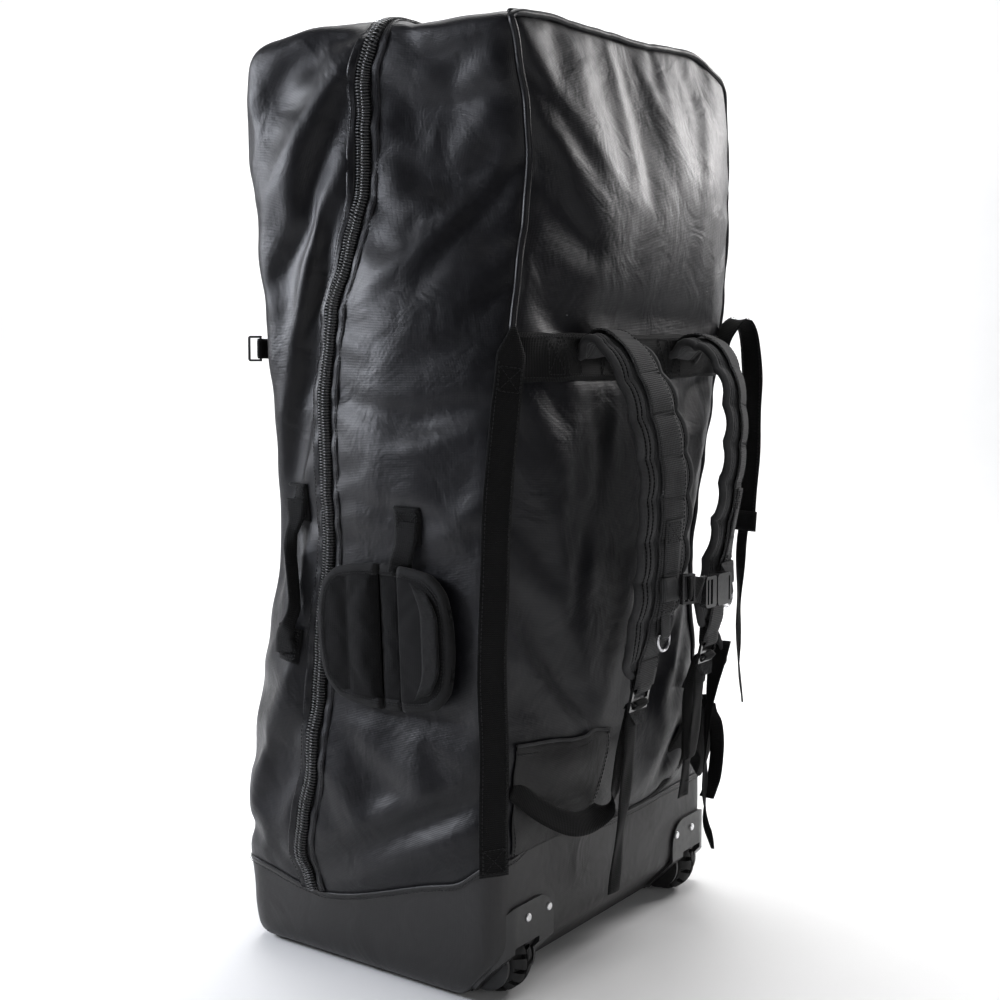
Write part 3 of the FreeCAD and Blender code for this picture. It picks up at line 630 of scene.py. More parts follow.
# Folds pressed into the shape: start, end, half width, height (outward), all in metres.
NEAR_FOLDS = [
    (0.066, 0.985, 0.08, 0.79, 0.007, -0.006), (0.09, 0.985, 0.1, 0.8, 0.011, 0.0045),
    (0.118, 0.93, 0.128, 0.7, 0.012, -0.004), (-0.15, 0.9, -0.02, 0.76, 0.014, 0.005),
    (-0.165, 0.84, -0.05, 0.7, 0.012, -0.005), (-0.12, 0.8, 0.01, 0.7, 0.011, 0.0045),
    (-0.15, 0.955, -0.04, 0.88, 0.013, -0.0035), (0.05, 0.7, 0.11, 0.66, 0.008, 0.0045),
    (0.05, 0.745, 0.115, 0.715, 0.008, 0.004), (0.05, 0.66, 0.1, 0.61, 0.008, -0.004),
    (0.03, 0.6, -0.08, 0.58, 0.012, -0.0035), (-0.02, 0.54, -0.15, 0.575, 0.012, 0.0045),
    (0.02, 0.5, -0.11, 0.48, 0.01, -0.0035), (0.1, 0.62, 0.14, 0.45, 0.012, -0.0045),
    (0.02, 0.262, -0.11, 0.205, 0.013, 0.005), (-0.02, 0.19, -0.15, 0.245, 0.012, -0.0045),
    (0.1, 0.32, 0.15, 0.15, 0.012, 0.005), (0.085, 0.25, 0.11, 0.12, 0.01, -0.0045),
    (0.03, 0.88, -0.04, 0.86, 0.008, 0.0035), (0.02, 0.93, -0.03, 0.915, 0.007, -0.0035),
    (0.035, 0.8, -0.03, 0.77, 0.008, 0.004), (0.04, 0.66, -0.04, 0.64, 0.009, 0.004),
    (0.05, 0.5, -0.02, 0.52, 0.008, 0.0035), (0.06, 0.23, -0.01, 0.17, 0.009, 0.004),
    (0.075, 0.098, -0.19, 0.232, 0.012, -0.0125), (0.06, 0.08, -0.19, 0.196, 0.014, 0.0075),
    (0.02, 0.15, -0.13, 0.24, 0.012, 0.0045)]
FACE_FOLDS = [
    (-0.217, 0.952, -0.131, 0.874, 0.012, -0.0045), (-0.131, 0.88, -0.054, 0.805, 0.013, -0.004),
    (-0.16, 0.9, -0.09, 0.78, 0.015, 0.0045), (0.03, 0.9, -0.02, 0.72, 0.018, -0.0035),
    (0.12, 0.75, 0.17, 0.94, 0.015, 0.0045), (-0.05, 0.62, -0.128, 0.357, 0.013, -0.0055),
    (-0.128, 0.59, -0.168, 0.43, 0.012, 0.0055), (-0.08, 0.56, -0.1, 0.4, 0.012, 0.0045),
    (0, 0.44, -0.06, 0.28, 0.014, 0.005), (0.08, 0.42, 0.04, 0.22, 0.013, -0.0045),
    (0.12, 0.56, 0.09, 0.38, 0.012, 0.0045), (-0.18, 0.38, -0.12, 0.29, 0.012, -0.004)]
FACE_FOLDS += [(x, 0.622, x + lean, 0.622 - run, 0.0065, h) for x, lean, run, h in
               ((-0.165, -0.004, 0.060, 0.0040), (-0.140, 0.002, 0.050, -0.0040),
                (-0.112, -0.006, 0.080, 0.0040), (-0.085, 0.004, 0.055, -0.0045),
                (-0.040, -0.010, 0.085, 0.0050), (-0.012, 0.006, 0.060, -0.0040),
                (0.016, -0.004, 0.075, 0.0045), (0.045, 0.004, 0.050, -0.0040),
                (0.085, -0.006, 0.070, 0.0045), (0.125, 0.006, 0.060, -0.0040), (0.160, 0, 0.07, 0.004))]
OUTER_FOLDS = [
    (-0.15, 0.88, -0.01, 0.7, 0.018, 0.004), (0.12, 0.8, 0.06, 0.56, 0.02, -0.0036),
    (0.06, 0.42, -0.12, 0.2, 0.016, 0.0055), (-0.16, 0.5, -0.06, 0.3, 0.014, -0.005),
    (0.15, 0.6, 0.06, 0.38, 0.014, 0.005), (0.14, 0.3, 0.03, 0.13, 0.014, -0.0045)]


wrap_boxes = [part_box(n) for n in ("wrap_core", "wrap_flap_front", "wrap_flap_back")]
WRAP_LO = Vector([min(b[0][c] for b in wrap_boxes) for c in range(3)])
WRAP_HI = Vector([max(b[1][c] for b in wrap_boxes) for c in range(3)])
WRAP_MID, WRAP_HALF = (WRAP_LO + WRAP_HI) / 2, (WRAP_HI - WRAP_LO) / 2
WRAP_BED = WRAP_HI.x + 0.0065


def depth(y):
    return clamp((y + HY) / (2 * HY))


def near_point(y, z):
    """A point on the near side, where a fold starts or ends."""
    return lerp(table(NEAR_BACK, z), table(NEAR_FRONT, z), depth(y)) - 0.004, y, z


FOLDS = [(near_point(a, b), near_point(c, d), w, h) for a, b, c, d, w, h in NEAR_FOLDS]
FOLDS += [((a, -0.172, b), (c, -0.172, d), w, h) for a, b, c, d, w, h in FACE_FOLDS]
FOLDS += [((a, 0.172, b), (c, 0.172, d), w, h) for a, b, c, d, w, h in OUTER_FOLDS]
FOLDS += [((0.235, a, b), (0.225, c, d), w, h) for a, b, c, d, w, h in OUTER_FOLDS]
FIRM_FOLDS = [(Vector(a), Vector(b), w) for a, b, w, h in FOLDS if abs(h) > 0.007]


def on_firm_fold(p):
    """True in the deep fold over the foot of the near side, which the load holds in place."""
    for a, b, width in FIRM_FOLDS:
        t = clamp((p - a).dot(b - a) / (b - a).length_squared)
        if (p - a.lerp(b, t)).length < 1.5 * width:
            return True
    return False


def seam_height(x, y):
    side = table(SIDE_SEAM, y)
    back = table(FACE_SEAM, x)
    return lerp(side, back, ease((-0.118 - y) / 0.045))


def top_height(x, y):
    across = table(TOP_ALONG_X, x) - TOP_ALONG_X[0][1]
    level = math.exp(-((y - 0.004) / 0.030) ** 2) * ease((0.215 - abs(x)) / 0.045)
    across = lerp(across, table(TOP_ALONG_X, 0.0) - TOP_ALONG_X[0][1], level)
    return table(TOP_ALONG_Y, y) + across * lerp(1.0, 0.25, depth(y))


def belly(v, w):
    """How far a panel swells at v across and w up it, both 0 to 1."""
    return (4 * v * (1 - v)) ** 0.8 * (4 * w * (1 - w)) ** 0.5


def wrap_rest(y, z):
    """1 where the grip wrap lies against the near side, falling to 0 round it."""
    away = max(abs(y - WRAP_MID.y) - WRAP_HALF.y, abs(z - WRAP_MID.z) - WRAP_HALF.z)
    return 1 - ease(clamp(away / 0.045))


def bag_point(i, j, k):
    """Where lattice point (i, j, k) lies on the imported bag."""
    u, w = i / NX, k / NZ
    z = w * TOP
    for _ in range(2):
        zip_y = table(ZIP_LINE, z)
        if j < J_ZIP:
            y = lerp(-HY, zip_y - ZIP_GAP, j / (J_ZIP - 1))
        elif j == J_ZIP:
            y = zip_y
        else:
            y = lerp(zip_y + ZIP_GAP, table(FRONT_Y, z), (j - J_ZIP - 1) / (NY - J_ZIP - 1))
        t = depth(y)
        lo = lerp(table(NEAR_BACK, z), table(NEAR_FRONT, z), ease(t) * 0.5 + t * 0.5)
        hi = lerp(table(FAR_BACK, z), table(FAR_FRONT, z), ease(t) * 0.5 + t * 0.5)
        x = lerp(lo, hi, u)
        seam, top = seam_height(x, y), top_height(x, y)
        z = seam * k / K_SEAM if k <= K_SEAM else lerp(seam, top, (k - K_SEAM) / (NZ - K_SEAM))
    r = lerp(0.017, 0.024, ease(t))
    zc = clamp(z, 0.017, top - lerp(0.020, 0.022, t))
    rz = lerp(0.020, 0.022, t) if z > zc else 0.017
    fy = table(FRONT_Y, z)
    core = Vector((clamp(x, lo + r, hi - r), clamp(y, -HY + r, fy - r), zc))
    out = Vector((x, y, z)) - core
    if out.length > 1e-9:
        scaled = Vector((out.x / r, out.y / r, out.z / rz)).normalized()
        p = core + Vector((scaled.x * r, scaled.y * r, scaled.z * rz))
    else:
        p = core
    upper = clamp((z - 0.70) / 0.25)
    middle = clamp((z - seam) / (0.62 - seam))
    if j == 0:
        p.y -= 0.016 * belly(u, upper) + 0.007 * belly(u, middle)
    if j == NY:
        p.y += 0.008 * belly(u, clamp((z - seam) / (top - seam)))
    if k > K_SEAM:
        above = clamp((z - seam) / 0.05) * (1 - clamp((z - seam - 0.05) / 0.11))
        swell = 0.008 * ease(above) * belly(t, 0.5)
        if i == 0:
            p.x -= swell + 0.007 * belly(t, middle)
        if i == NX:
            p.x += swell + 0.005 * belly(t, middle)
    if i == 0:
        rest = wrap_rest(p.y, p.z)
        p.x = lerp(p.x, max(p.x, WRAP_BED), rest)
    slope = math.hypot(0.052, 0.050)
    over = (-(p.y + HY) * 0.052 - p.z * 0.050 + 0.052 * 0.050) / slope
    if over > 0:
        p += Vector((0, 0.052, 0.050)) / slope * over
    return p


def press_folds(p, n):
    """Moves a point along n by the folds near it."""
    shift = 0.0
    for a, b, width, height in FOLDS:
        a, b = Vector(a), Vector(b)
        ab = b - a
        t = clamp((p - a).dot(ab) / ab.length_squared)
        d = (p - a - ab * t).length
        if d < 3 * width + 0.03:
            shift += height * math.exp(-(d / width) ** 2) * math.sin(math.pi * (0.08 + 0.84 * t))
    return p + n * shift


def bag_mesh():
    """The closed outside skin: a lattice box pulled to shape. Tags: 0 back, 1 front, 2 boot,
    3 and 4 zip tape, 5 wheel bays."""
    ids, verts = {}, []
    for k in range(NZ + 1):
        for j in range(NY + 1):
            for i in range(NX + 1):
                if i in (0, NX) or j in (0, NY) or k in (0, NZ):
                    ids[i, j, k] = len(verts)
                    verts.append(bag_point(i, j, k))
    faces, tags, uvs = [], [], []

    def face(corners, kind):
        ring = [ids[c] for c in corners]
        js = sum(c[1] for c in corners) / 4
        ks = sum(c[2] for c in corners) / 4
        if ks < K_SEAM:
            tag = 2
        elif js < J_ZIP - 1:
            tag = 0
        elif js > J_ZIP + 1:
            tag = 1
        else:
            tag = 3 if js < J_ZIP else 4
        faces.append(ring)
        tags.append(tag)
        for c in corners:
            p = verts[ids[c]]
            uvs.append({"x": (p.y, p.z), "y": (p.x, p.z), "z": (p.x, p.y)}[kind])

    for k in range(NZ):
        for j in range(NY):
            face([(0, j, k), (0, j, k + 1), (0, j + 1, k + 1), (0, j + 1, k)], "x")
            face([(NX, j, k), (NX, j + 1, k), (NX, j + 1, k + 1), (NX, j, k + 1)], "x")
        for i in range(NX):
            face([(i, 0, k), (i + 1, 0, k), (i + 1, 0, k + 1), (i, 0, k + 1)], "y")
            face([(i, NY, k), (i, NY, k + 1), (i + 1, NY, k + 1), (i + 1, NY, k)], "y")
    for j in range(NY):
        for i in range(NX):
            face([(i, j, NZ), (i + 1, j, NZ), (i + 1, j + 1, NZ), (i, j + 1, NZ)], "z")
            face([(i, j, 0), (i, j + 1, 0), (i + 1, j + 1, 0), (i + 1, j, 0)], "z")
    me = bpy.data.meshes.new("bag_skin")
    me.from_pydata([tuple(v) for v in verts], [], faces)
    for m in ("shell", "shell", "boot", "tape", "tape", "panel"):
        me.materials.append(M[m])
    me.polygons.foreach_set("material_index", tags)
    layer = me.uv_layers.new(name="UVMap")
    layer.data.foreach_set("uv", [c for uv in uvs for c in uv])
    me.update()
    o = bpy.data.objects.new("bag_skin", me)
    bpy.context.scene.collection.objects.link(o)
    moved = [press_folds(v.co.copy(), v.normal.copy()) for v in me.vertices]
    for v, p in zip(me.vertices, moved):
        v.co = p
    me.update()
    return o, ids


def pin_weight(i, j, k):
    """1 holds the fabric still, 0 lets it go."""
    if k <= K_SEAM:
        return 1.0
    if j in (J_ZIP - 1, J_ZIP, J_ZIP + 1) and (i in (0, NX) or k == NZ):
        return 0.9
    if j == 0 and (i in (0, NX) or k == NZ):
        return 0.8
    if i == 0:
        p = bag_point(i, j, k)
        return 1.0 if wrap_rest(p.y, p.z) > 0.4 or on_firm_fold(p) else 0.0
    return 0.0


def inflate(o, ids, frames=16, pressure=1.4, shrink=-0.022, cap=0.017):
    """Cloth simulation of a slightly oversized skin on a full bag, capped and applied."""
    group = o.vertex_groups.new(name="hold")
    rest = [v.co.copy() for v in o.data.vertices]
    for (i, j, k), index in ids.items():
        w = pin_weight(i, j, k)
        if w:
            group.add([index], w, "REPLACE")
    mod = o.modifiers.new("Cloth", "CLOTH")
    s = mod.settings
    s.quality = 6
    s.mass = 0.35
    s.tension_stiffness = s.compression_stiffness = 22
    s.shear_stiffness = 9
    s.bending_stiffness = 0.35
    s.tension_damping = s.compression_damping = s.shear_damping = 8
    s.bending_damping = 0.5
    s.air_damping = 4
    s.use_pressure = True
    s.uniform_pressure_force = pressure
    s.shrink_min = shrink
    s.vertex_group_mass = group.name
    s.pin_stiffness = 1.0
    s.effector_weights.gravity = 0.15
    mod.collision_settings.use_collision = False
    mod.collision_settings.use_self_collision = False
    mod.point_cache.frame_start, mod.point_cache.frame_end = 1, frames + 4
    scene = bpy.context.scene
    for f in range(1, frames + 1):
        scene.frame_set(f)
    dg = bpy.context.evaluated_depsgraph_get()
    done = [v.co.copy() for v in o.evaluated_get(dg).data.vertices]
    o.modifiers.clear()
    o.vertex_groups.clear()
    for v, a, b in zip(o.data.vertices, rest, done):
        d = b - a
        v.co = a + (d * (cap / d.length) if d.length > cap else d)
    o.data.update()
    scene.frame_set(1)


def relax(o, keep, rounds=1, amount=0.5):
    """Evens out creases tighter than the mesh can carry."""
    bm = bmesh.new()
    bm.from_mesh(o.data)
    free = [v for v in bm.verts if v.index not in keep]
    for _ in range(rounds):
        bmesh.ops.smooth_vert(bm, verts=free, factor=amount, use_axis_x=True, use_axis_y=True,
                              use_axis_z=True)
    bm.to_mesh(o.data)
    bm.free()
    o.data.update()


def take(source, name, tags, material, thickness=0.0, lining=None):
    """A new piece from the tagged faces of the skin, thickened inwards."""
    me = source.data
    used, verts, faces, uvs = {}, [], [], []
    layer = me.uv_layers.active
    for p in me.polygons:
        if p.material_index not in tags:
            continue
        ring = []
        for vi, li in zip(p.vertices, p.loop_indices):
            if vi not in used:
                used[vi] = len(verts)
                verts.append(tuple(me.vertices[vi].co))
            ring.append(used[vi])
            uvs.append(tuple(layer.data[li].uv))
        faces.append(ring)
    new = bpy.data.meshes.new(name)
    new.from_pydata(verts, [], faces)
    new.materials.append(M[material])
    uv = new.uv_layers.new(name="UVMap")
    uv.data.foreach_set("uv", [c for pair in uvs for c in pair])
    new.polygons.foreach_set("use_smooth", [True] * len(faces))
    new.update()
    o = bpy.data.objects.new(name, new)
    bpy.context.scene.collection.objects.link(o)
    if thickness:
        if lining:
            new.materials.append(M[lining])
        mod = o.modifiers.new("Solidify", "SOLIDIFY")
        mod.thickness = thickness
        mod.offset = -1
        mod.material_offset = 1 if lining else 0
        apply_modifiers(o)
    return o


skin, LATTICE = bag_mesh()
inflate(skin, LATTICE)
held = {LATTICE[c] for c in LATTICE if c[2] <= K_SEAM}
relax(skin, held, 1, 0.35)
for v in [LATTICE[c] for c in LATTICE if c[1] == J_ZIP and c[2] >= K_SEAM
          and (c[0] in (0, NX) or c[2] == NZ)]:
    skin.data.vertices[v].co -= skin.data.vertices[v].normal * 0.0022
subdivide(skin)
SKIN = Surface([skin])


def lattice_line(keys, lift=0.0):
    """Points and outward normals of the finished skin along lattice points."""
    vs = [skin.data.vertices[LATTICE[key]] for key in keys]
    return [v.co + v.normal * lift for v in vs], [v.normal.copy() for v in vs]


def ring_keys(j, low=K_SEAM):
    """Lattice points up the near side, over the top and down the far side at one j."""
    near = [(0, j, k) for k in range(low, NZ)]
    over = [(i, j, NZ) for i in range(NX + 1)]
    far = [(NX, j, k) for k in range(NZ - 1, low - 1, -1)]
    return near + over + far


# ------------------------------------------------------------------ fabric pieces
def fold_down(o, *replaced, slot=None):
    """Passes a piece to flex with the front half's foot line, which bakes it in place and hides the
    parts it replaces.
    """
    flex(o, "bag", "front_half", (0, 0.10, FLEX_FOOT[0]), (0, 0.10, FLEX_FOOT[1]), *replaced, slot=slot)


def keep(o, body, *replaced, slot=None):
    """Rides on its body, or for the front half is baked in place by fold_down."""
    if body == "front_half":
        fold_down(o, *replaced, slot=slot)
    else:
        ride(o, body, *replaced, slot=slot)


back = take(skin, "bag_back_half", (0,), "shell", 0.0016, "lining")
front = take(skin, "bag_front_half", (1,), "shell", 0.0016, "lining")
boot = take(skin, "bag_boot", (2,), "boot", 0.0020, "lining")
ride(back, "bag", "back_shell", slot="shell_fabric")
fold_down(front, "front_shell", slot="shell_fabric")
ride(boot, "bag", "base_boot", slot="boot_fabric")
for body, name, tag in (("bag", "zip_tape_back", 3), ("front_half", "zip_tape_front", 4)):
    piece = take(skin, name + "_cloth", (tag,), "tape", 0.0008)
    keep(piece, body, name, slot="webbing")


def sweep(name, points, normals, profile, material):
    """A cross-section of (sideways, outward) points carried along a line on the bag.
    Sideways is t x n."""
    verts, uvs, run = [], [], 0.0
    for i, (p, t, n) in enumerate(zip(points, tangents(points), normals)):
        if i:
            run += (p - points[i - 1]).length
        s = t.cross(n).normalized()
        n = s.cross(t).normalized()
        for a, h in profile:
            verts.append(p + s * a + n * h)
            uvs.append((run, a))
    o = make(name, verts, ring_faces(0, len(points), len(profile)), material, uvs)
    finish_normals(o)
    return o


def spread(points, normals, step):
    """Resamples a line and the normals that go with it."""
    line = resample(points, step)
    out, k = [], 0
    for p in line:
        while k < len(points) - 2 and (points[k + 1] - p).length < (points[k] - p).length:
            k += 1
        f = clamp((p - points[k]).dot(points[k + 1] - points[k])
                  / max(1e-9, (points[k + 1] - points[k]).length_squared))
        out.append(normals[k].lerp(normals[k + 1], f).normalized())
    return line, out


def zip_border(side, body):
    """The folded fabric edge beside the zip, its stitches and its puckers."""
    j = J_ZIP + side
    points, normals = lattice_line(ring_keys(j), 0.0002)
    points, normals = spread(points, normals, 0.005)
    sign = side
    profile = [(0.0014, -0.0008), (0.0006, 0.0000), (0.0010, 0.0008), (0.0026, 0.0010),
               (0.0068, 0.0008), (0.0085, 0.0004), (0.0098, 0.0000), (0.0100, -0.0010)]
    if sign > 0:
        profile = [(-a, h) for a, h in profile]
    moved = []
    for i, (p, n) in enumerate(zip(points, normals)):
        ripple = math.sin(i * 1.13) * 0.0005 + math.sin(i * 0.47 + 1.0) * 0.0006
        moved.append(p + n * ripple)
    word = "back" if side < 0 else "front"
    border = sweep("zip_border_" + word, moved, normals, profile, "shell")
    ts = tangents(moved)
    rows = []
    for offset in (0.0080, 0.0100):
        rows.append([p + n.cross(t) * (sign * offset) + n * 0.0015
                     for p, t, n in zip(moved, ts, normals)])
    stitches = thread("zip_border_stitches_" + word, rows[:1], 0.0042)
    keep(border, body, "back_shell" if side < 0 else "front_shell", slot="shell_fabric")
    keep(stitches, body, "back_shell" if side < 0 else "front_shell", slot="webbing")


def zip_teeth(side, body):
    """One side of the nylon coil: a rounded loop every pitch, reaching over the centre line."""
    points, normals = lattice_line(ring_keys(J_ZIP), 0.0)
    points, normals = spread(points, normals, 0.0030)
    ts = tangents(points)
    verts, faces, uvs = [], [], []
    loop = [(0.0074, 0.0010), (0.0072, 0.0034), (0.0040, 0.0052), (-0.0004, 0.0050),
            (-0.0014, 0.0034), (-0.0006, 0.0014)]
    r = 0.00082
    for p, t, n in zip(points, ts, normals):
        s = n.cross(t).normalized() * side
        centre = p + t * (0.0 if side < 0 else 0.0015)
        start = len(verts)
        path = [centre + s * a + n * (h + 0.0008) for a, h in loop]
        for q, d in zip(path, tangents(path)):
            b = d.cross(t).normalized()
            for k in range(5):
                a = 2 * math.pi * k / 5
                verts.append(q + (t * math.cos(a) + b * math.sin(a)) * r)
                uvs.append((0.0, 0.0))
        faces += ring_faces(start, len(path), 5)
    word = "back" if side < 0 else "front"
    coil = make("zip_coil_" + word + "_teeth", verts, faces, "coil", uvs)
    finish_normals(coil)
    keep(coil, body, "zip_coil_" + word, slot="zip_teeth")


zip_border(-1, "bag")
zip_border(1, "front_half")
zip_teeth(-1, "bag")
zip_teeth(1, "front_half")


def edge_roll(name, keys, radius, lift, material="shell", step=0.006):
    points, normals = lattice_line(keys, lift)
    points, normals = spread(points, normals, step)
    profile = [(math.cos(a) * radius, math.sin(a) * radius)
               for a in (2 * math.pi * k / 10 for k in range(10))]
    flange = sweep(name, points, normals, profile, material)
    return flange


piping_keys = [key for key in ring_keys(0) if key[0] or bag_point(*key).z > 0.662]
piping = edge_roll("back_piping_cord", piping_keys, 0.0036, 0.0024)
ride(piping, "bag", "back_piping", slot="shell_fabric")
ridge_keys = [(i, 1, NZ) for i in range(1, NX)]
ridge = edge_roll("top_seam_ridge", ridge_keys, 0.0028, 0.0004)
ride(ridge, "bag", "back_shell", slot="shell_fabric")


def boot_seam():
    """The boot's folded top edge and its stitches, all round."""
    keys = [(0, j, K_SEAM) for j in range(0, NY + 1)] + [(i, NY, K_SEAM) for i in range(1, NX + 1)]
    keys += [(NX, j, K_SEAM) for j in range(NY - 1, -1, -1)]
    keys += [(i, 0, K_SEAM) for i in range(NX - 1, -1, -1)]
    points, normals = lattice_line(keys, 0.0)
    points, normals = spread(points, normals, 0.005)
    profile = [(0.0, -0.0008), (0.0004, 0.0008), (0.0016, 0.0011), (0.0060, 0.0007),
               (0.0070, -0.0010)]
    if tangents(points)[5].cross(normals[5]).z > 0:
        profile = [(-a, h) for a, h in profile]
    fold = sweep("boot_top_edge", points, normals, profile, "boot")
    ride(fold, "bag", "base_boot", slot="boot_fabric")
    row = [p - Z * 0.0052 + n * 0.0016 for p, n in zip(points, normals)]
    ride(thread("boot_edge_stitches", [row], 0.0046), "bag", "base_boot", slot="webbing")


boot_seam()


# ------------------------------------------------------------------ webbing laid on the bag
def laid(name, points, across, width, thick, lift, material="web", step=0.006, cells=6,
         widths=None):
    """Webbing that follows the finished surface: every point of the band is snapped to it."""
    line = resample(points, step)
    ts = tangents(line)
    wide = blend_vectors(across, len(line))
    top, uvs, run = [], [], 0.0
    for i, (p, t, w) in enumerate(zip(line, ts, wide)):
        if i:
            run += (p - line[i - 1]).length
        w = (w - t * w.dot(t)).normalized()
        half = (widths(i / (len(line) - 1)) if widths else width) / 2
        row = []
        for c in range(cells + 1):
            a = (-1 + 2 * c / cells) * half
            q, n = SKIN.snap(p + w * a)
            row.append((q, n, a))
        top.append((row, run))
    verts, faces = [], []
    m = cells + 1
    for layer in (0, 1):
        for row, run in top:
            for c, (q, n, a) in enumerate(row):
                edge = 0.35 if c in (0, cells) else 1.0
                h = lift + thick * edge if layer else lift * 0.2 - 0.0006
                verts.append(q + n * h)
                uvs.append((run, a))
    rows = len(top)
    base = rows * m

    def cell(i, c, off):
        return off + i * m + c

    for i in range(rows - 1):
        for c in range(cells):
            faces.append([cell(i, c, base), cell(i, c + 1, base), cell(i + 1, c + 1, base),
                          cell(i + 1, c, base)])
            faces.append([cell(i, c, 0), cell(i + 1, c, 0), cell(i + 1, c + 1, 0),
                          cell(i, c + 1, 0)])
        for c in (0, cells):
            faces.append([cell(i, c, 0), cell(i, c, base), cell(i + 1, c, base), cell(i + 1, c, 0)])
    for c in range(cells):
        for i in (0, rows - 1):
            faces.append([cell(i, c, 0), cell(i, c + 1, 0), cell(i, c + 1, base), cell(i, c, base)])
    o = make(name, verts, faces, material, uvs)
    finish_normals(o)
    return o


def box_stitch(centre, right, up, width, height, cross=True):
    """Lines of an X-box: a rectangle and, if wanted, its diagonals."""
    def at(a, b):
        return Vector(centre) + right * a + up * b

    w, h = width / 2, height / 2
    corners = [at(-w, -h), at(w, -h), at(w, h), at(-w, h), at(-w, -h)]
    lines = [[a, b] for a, b in zip(corners, corners[1:])]
    if cross:
        lines += [[corners[0], corners[2]], [corners[1], corners[3]]]
    return lines


def snapped(lines, lift, step=0.006):
    return [SKIN.line(line, step, lift) for line in lines]


band_z = (BAND_LO.z + BAND_HI.z) / 2
band_h = BAND_HI.z - BAND_LO.z
band_path = [(-0.206, -0.170, band_z - 0.004), (-0.10, -0.18, band_z - 0.002),
             (0.02, -0.18, band_z), (0.14, -0.18, band_z + 0.004), (0.246, -0.170, band_z + 0.006)]
band = laid("yoke_band_webbing", band_path, Z, band_h, 0.0022, 0.0012, step=0.008, cells=8)
ride(band, "bag", "yoke_band", slot="webbing")
rows = []
for dz in (band_h / 2 - 0.004, -band_h / 2 + 0.004):
    rows.append([(x, y, z + dz) for x, y, z in band_path])
for x in (-0.052, -0.024, 0.062, 0.09, -0.118, -0.146):
    rows += box_stitch((x, -0.18, band_z), X, Z, 0.022, band_h - 0.008)
stitches = thread("yoke_band_stitches", snapped(rows, 0.0040), 0.0044)
ride(stitches, "bag", "yoke_band", slot="webbing")

patch_lo, patch_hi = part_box("harness_pocket")


def pocket():
    """Patch pocket: a thin fabric panel just off the harness face, hemmed at the top."""
    nx, nz = 26, 12
    verts, uvs = [], []
    for k in range(nz + 1):
        for i in range(nx + 1):
            u, w = i / nx, k / nz
            x = lerp(patch_lo.x - 0.015, lerp(-0.100, -0.047, w ** 0.7), u)
            top = lerp(0.264, 0.250, u)
            z = lerp(patch_lo.z - 0.006, top, w)
            q, n = SKIN.snap((x, -0.175, z))
            puff = 0.0012 + 0.0050 * math.sin(math.pi * u) * ease(w * 1.2) * ease((1.06 - w) * 3)
            if k == nz:
                puff += 0.0008
            verts.append(q + n * puff)
            uvs.append((x, z))
    o = make("harness_pocket_panel", verts, grid_faces(nz, nx), "panel", uvs)
    mod = o.modifiers.new("Solidify", "SOLIDIFY")
    mod.thickness, mod.offset = 0.0012, 1
    apply_modifiers(o)
    subdivide(o)
    ride(o, "bag", "harness_pocket", slot="shell_fabric")
    top_edge = [verts[nz * (nx + 1) + i] for i in range(nx + 1)]
    side_edge = [verts[k * (nx + 1) + nx] for k in range(nz + 1)]
    left_edge = [verts[k * (nx + 1)] for k in range(nz + 1)]
    hem = tube("harness_pocket_hem", [p + Vector((0, -0.0014, 0)) for p in top_edge], 0.0017,
               "bind")
    ride(hem, "bag", "harness_pocket", slot="webbing")
    lines = [[p + Vector((0, -0.0018, -0.009)) for p in top_edge],
             [p + Vector((-0.004, -0.0018, 0)) for p in side_edge],
             [p + Vector((-0.008, -0.0018, 0)) for p in side_edge],
             [p + Vector((0.004, -0.0018, 0)) for p in left_edge]]
    ride(thread("harness_pocket_stitches", lines, 0.0044), "bag", "harness_pocket", slot="webbing")


pocket()


# ------------------------------------------------------------------ corner straps
def corner_left():
    """Webbing folded off the band and run down the corner, turned out to face the corner."""
    lo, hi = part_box("corner_strap_left")
    out = Vector((-0.575, -0.818, 0)).normalized()
    wide = Vector((0.818, -0.575, 0)).normalized()
    zs = [hi.z - 0.004, hi.z - 0.05, 0.58, 0.50, 0.42, 0.34, 0.26, 0.19, lo.z]
    path = []
    for z in zs:
        q, _ = SKIN.snap((table(NEAR_BACK, z) - 0.006, -0.172, z))
        path.append(q + out * 0.0050)
    width = (lambda t: 0.030 if t > 0.05 else lerp(0.004, 0.030, t / 0.05))
    o = strap("corner_strap_left_webbing", path, wide, width, 0.0021, step=0.007, wobble=0.0004)
    ride(o, "bag", "corner_strap_left", slot="webbing")
    rib = Ribbon(path, wide)
    lines = [rib.line(0.035, rib.length - 0.004, a, h, 0.006)
             for a in (-0.0122, 0.0122) for h in (0.0016, -0.0016)]
    for s in (0.052, rib.length - 0.016):
        p, t, w, n = rib.frame(s)
        for side in (0.0016, -0.0016):
            lines += box_stitch(p + n * side, w, t, 0.022, 0.024)
    ride(thread("corner_strap_left_stitches", lines), "bag", "corner_strap_left", slot="webbing")


corner_left()


def mm(points):
    return [Vector(p) * 0.001 for p in points]


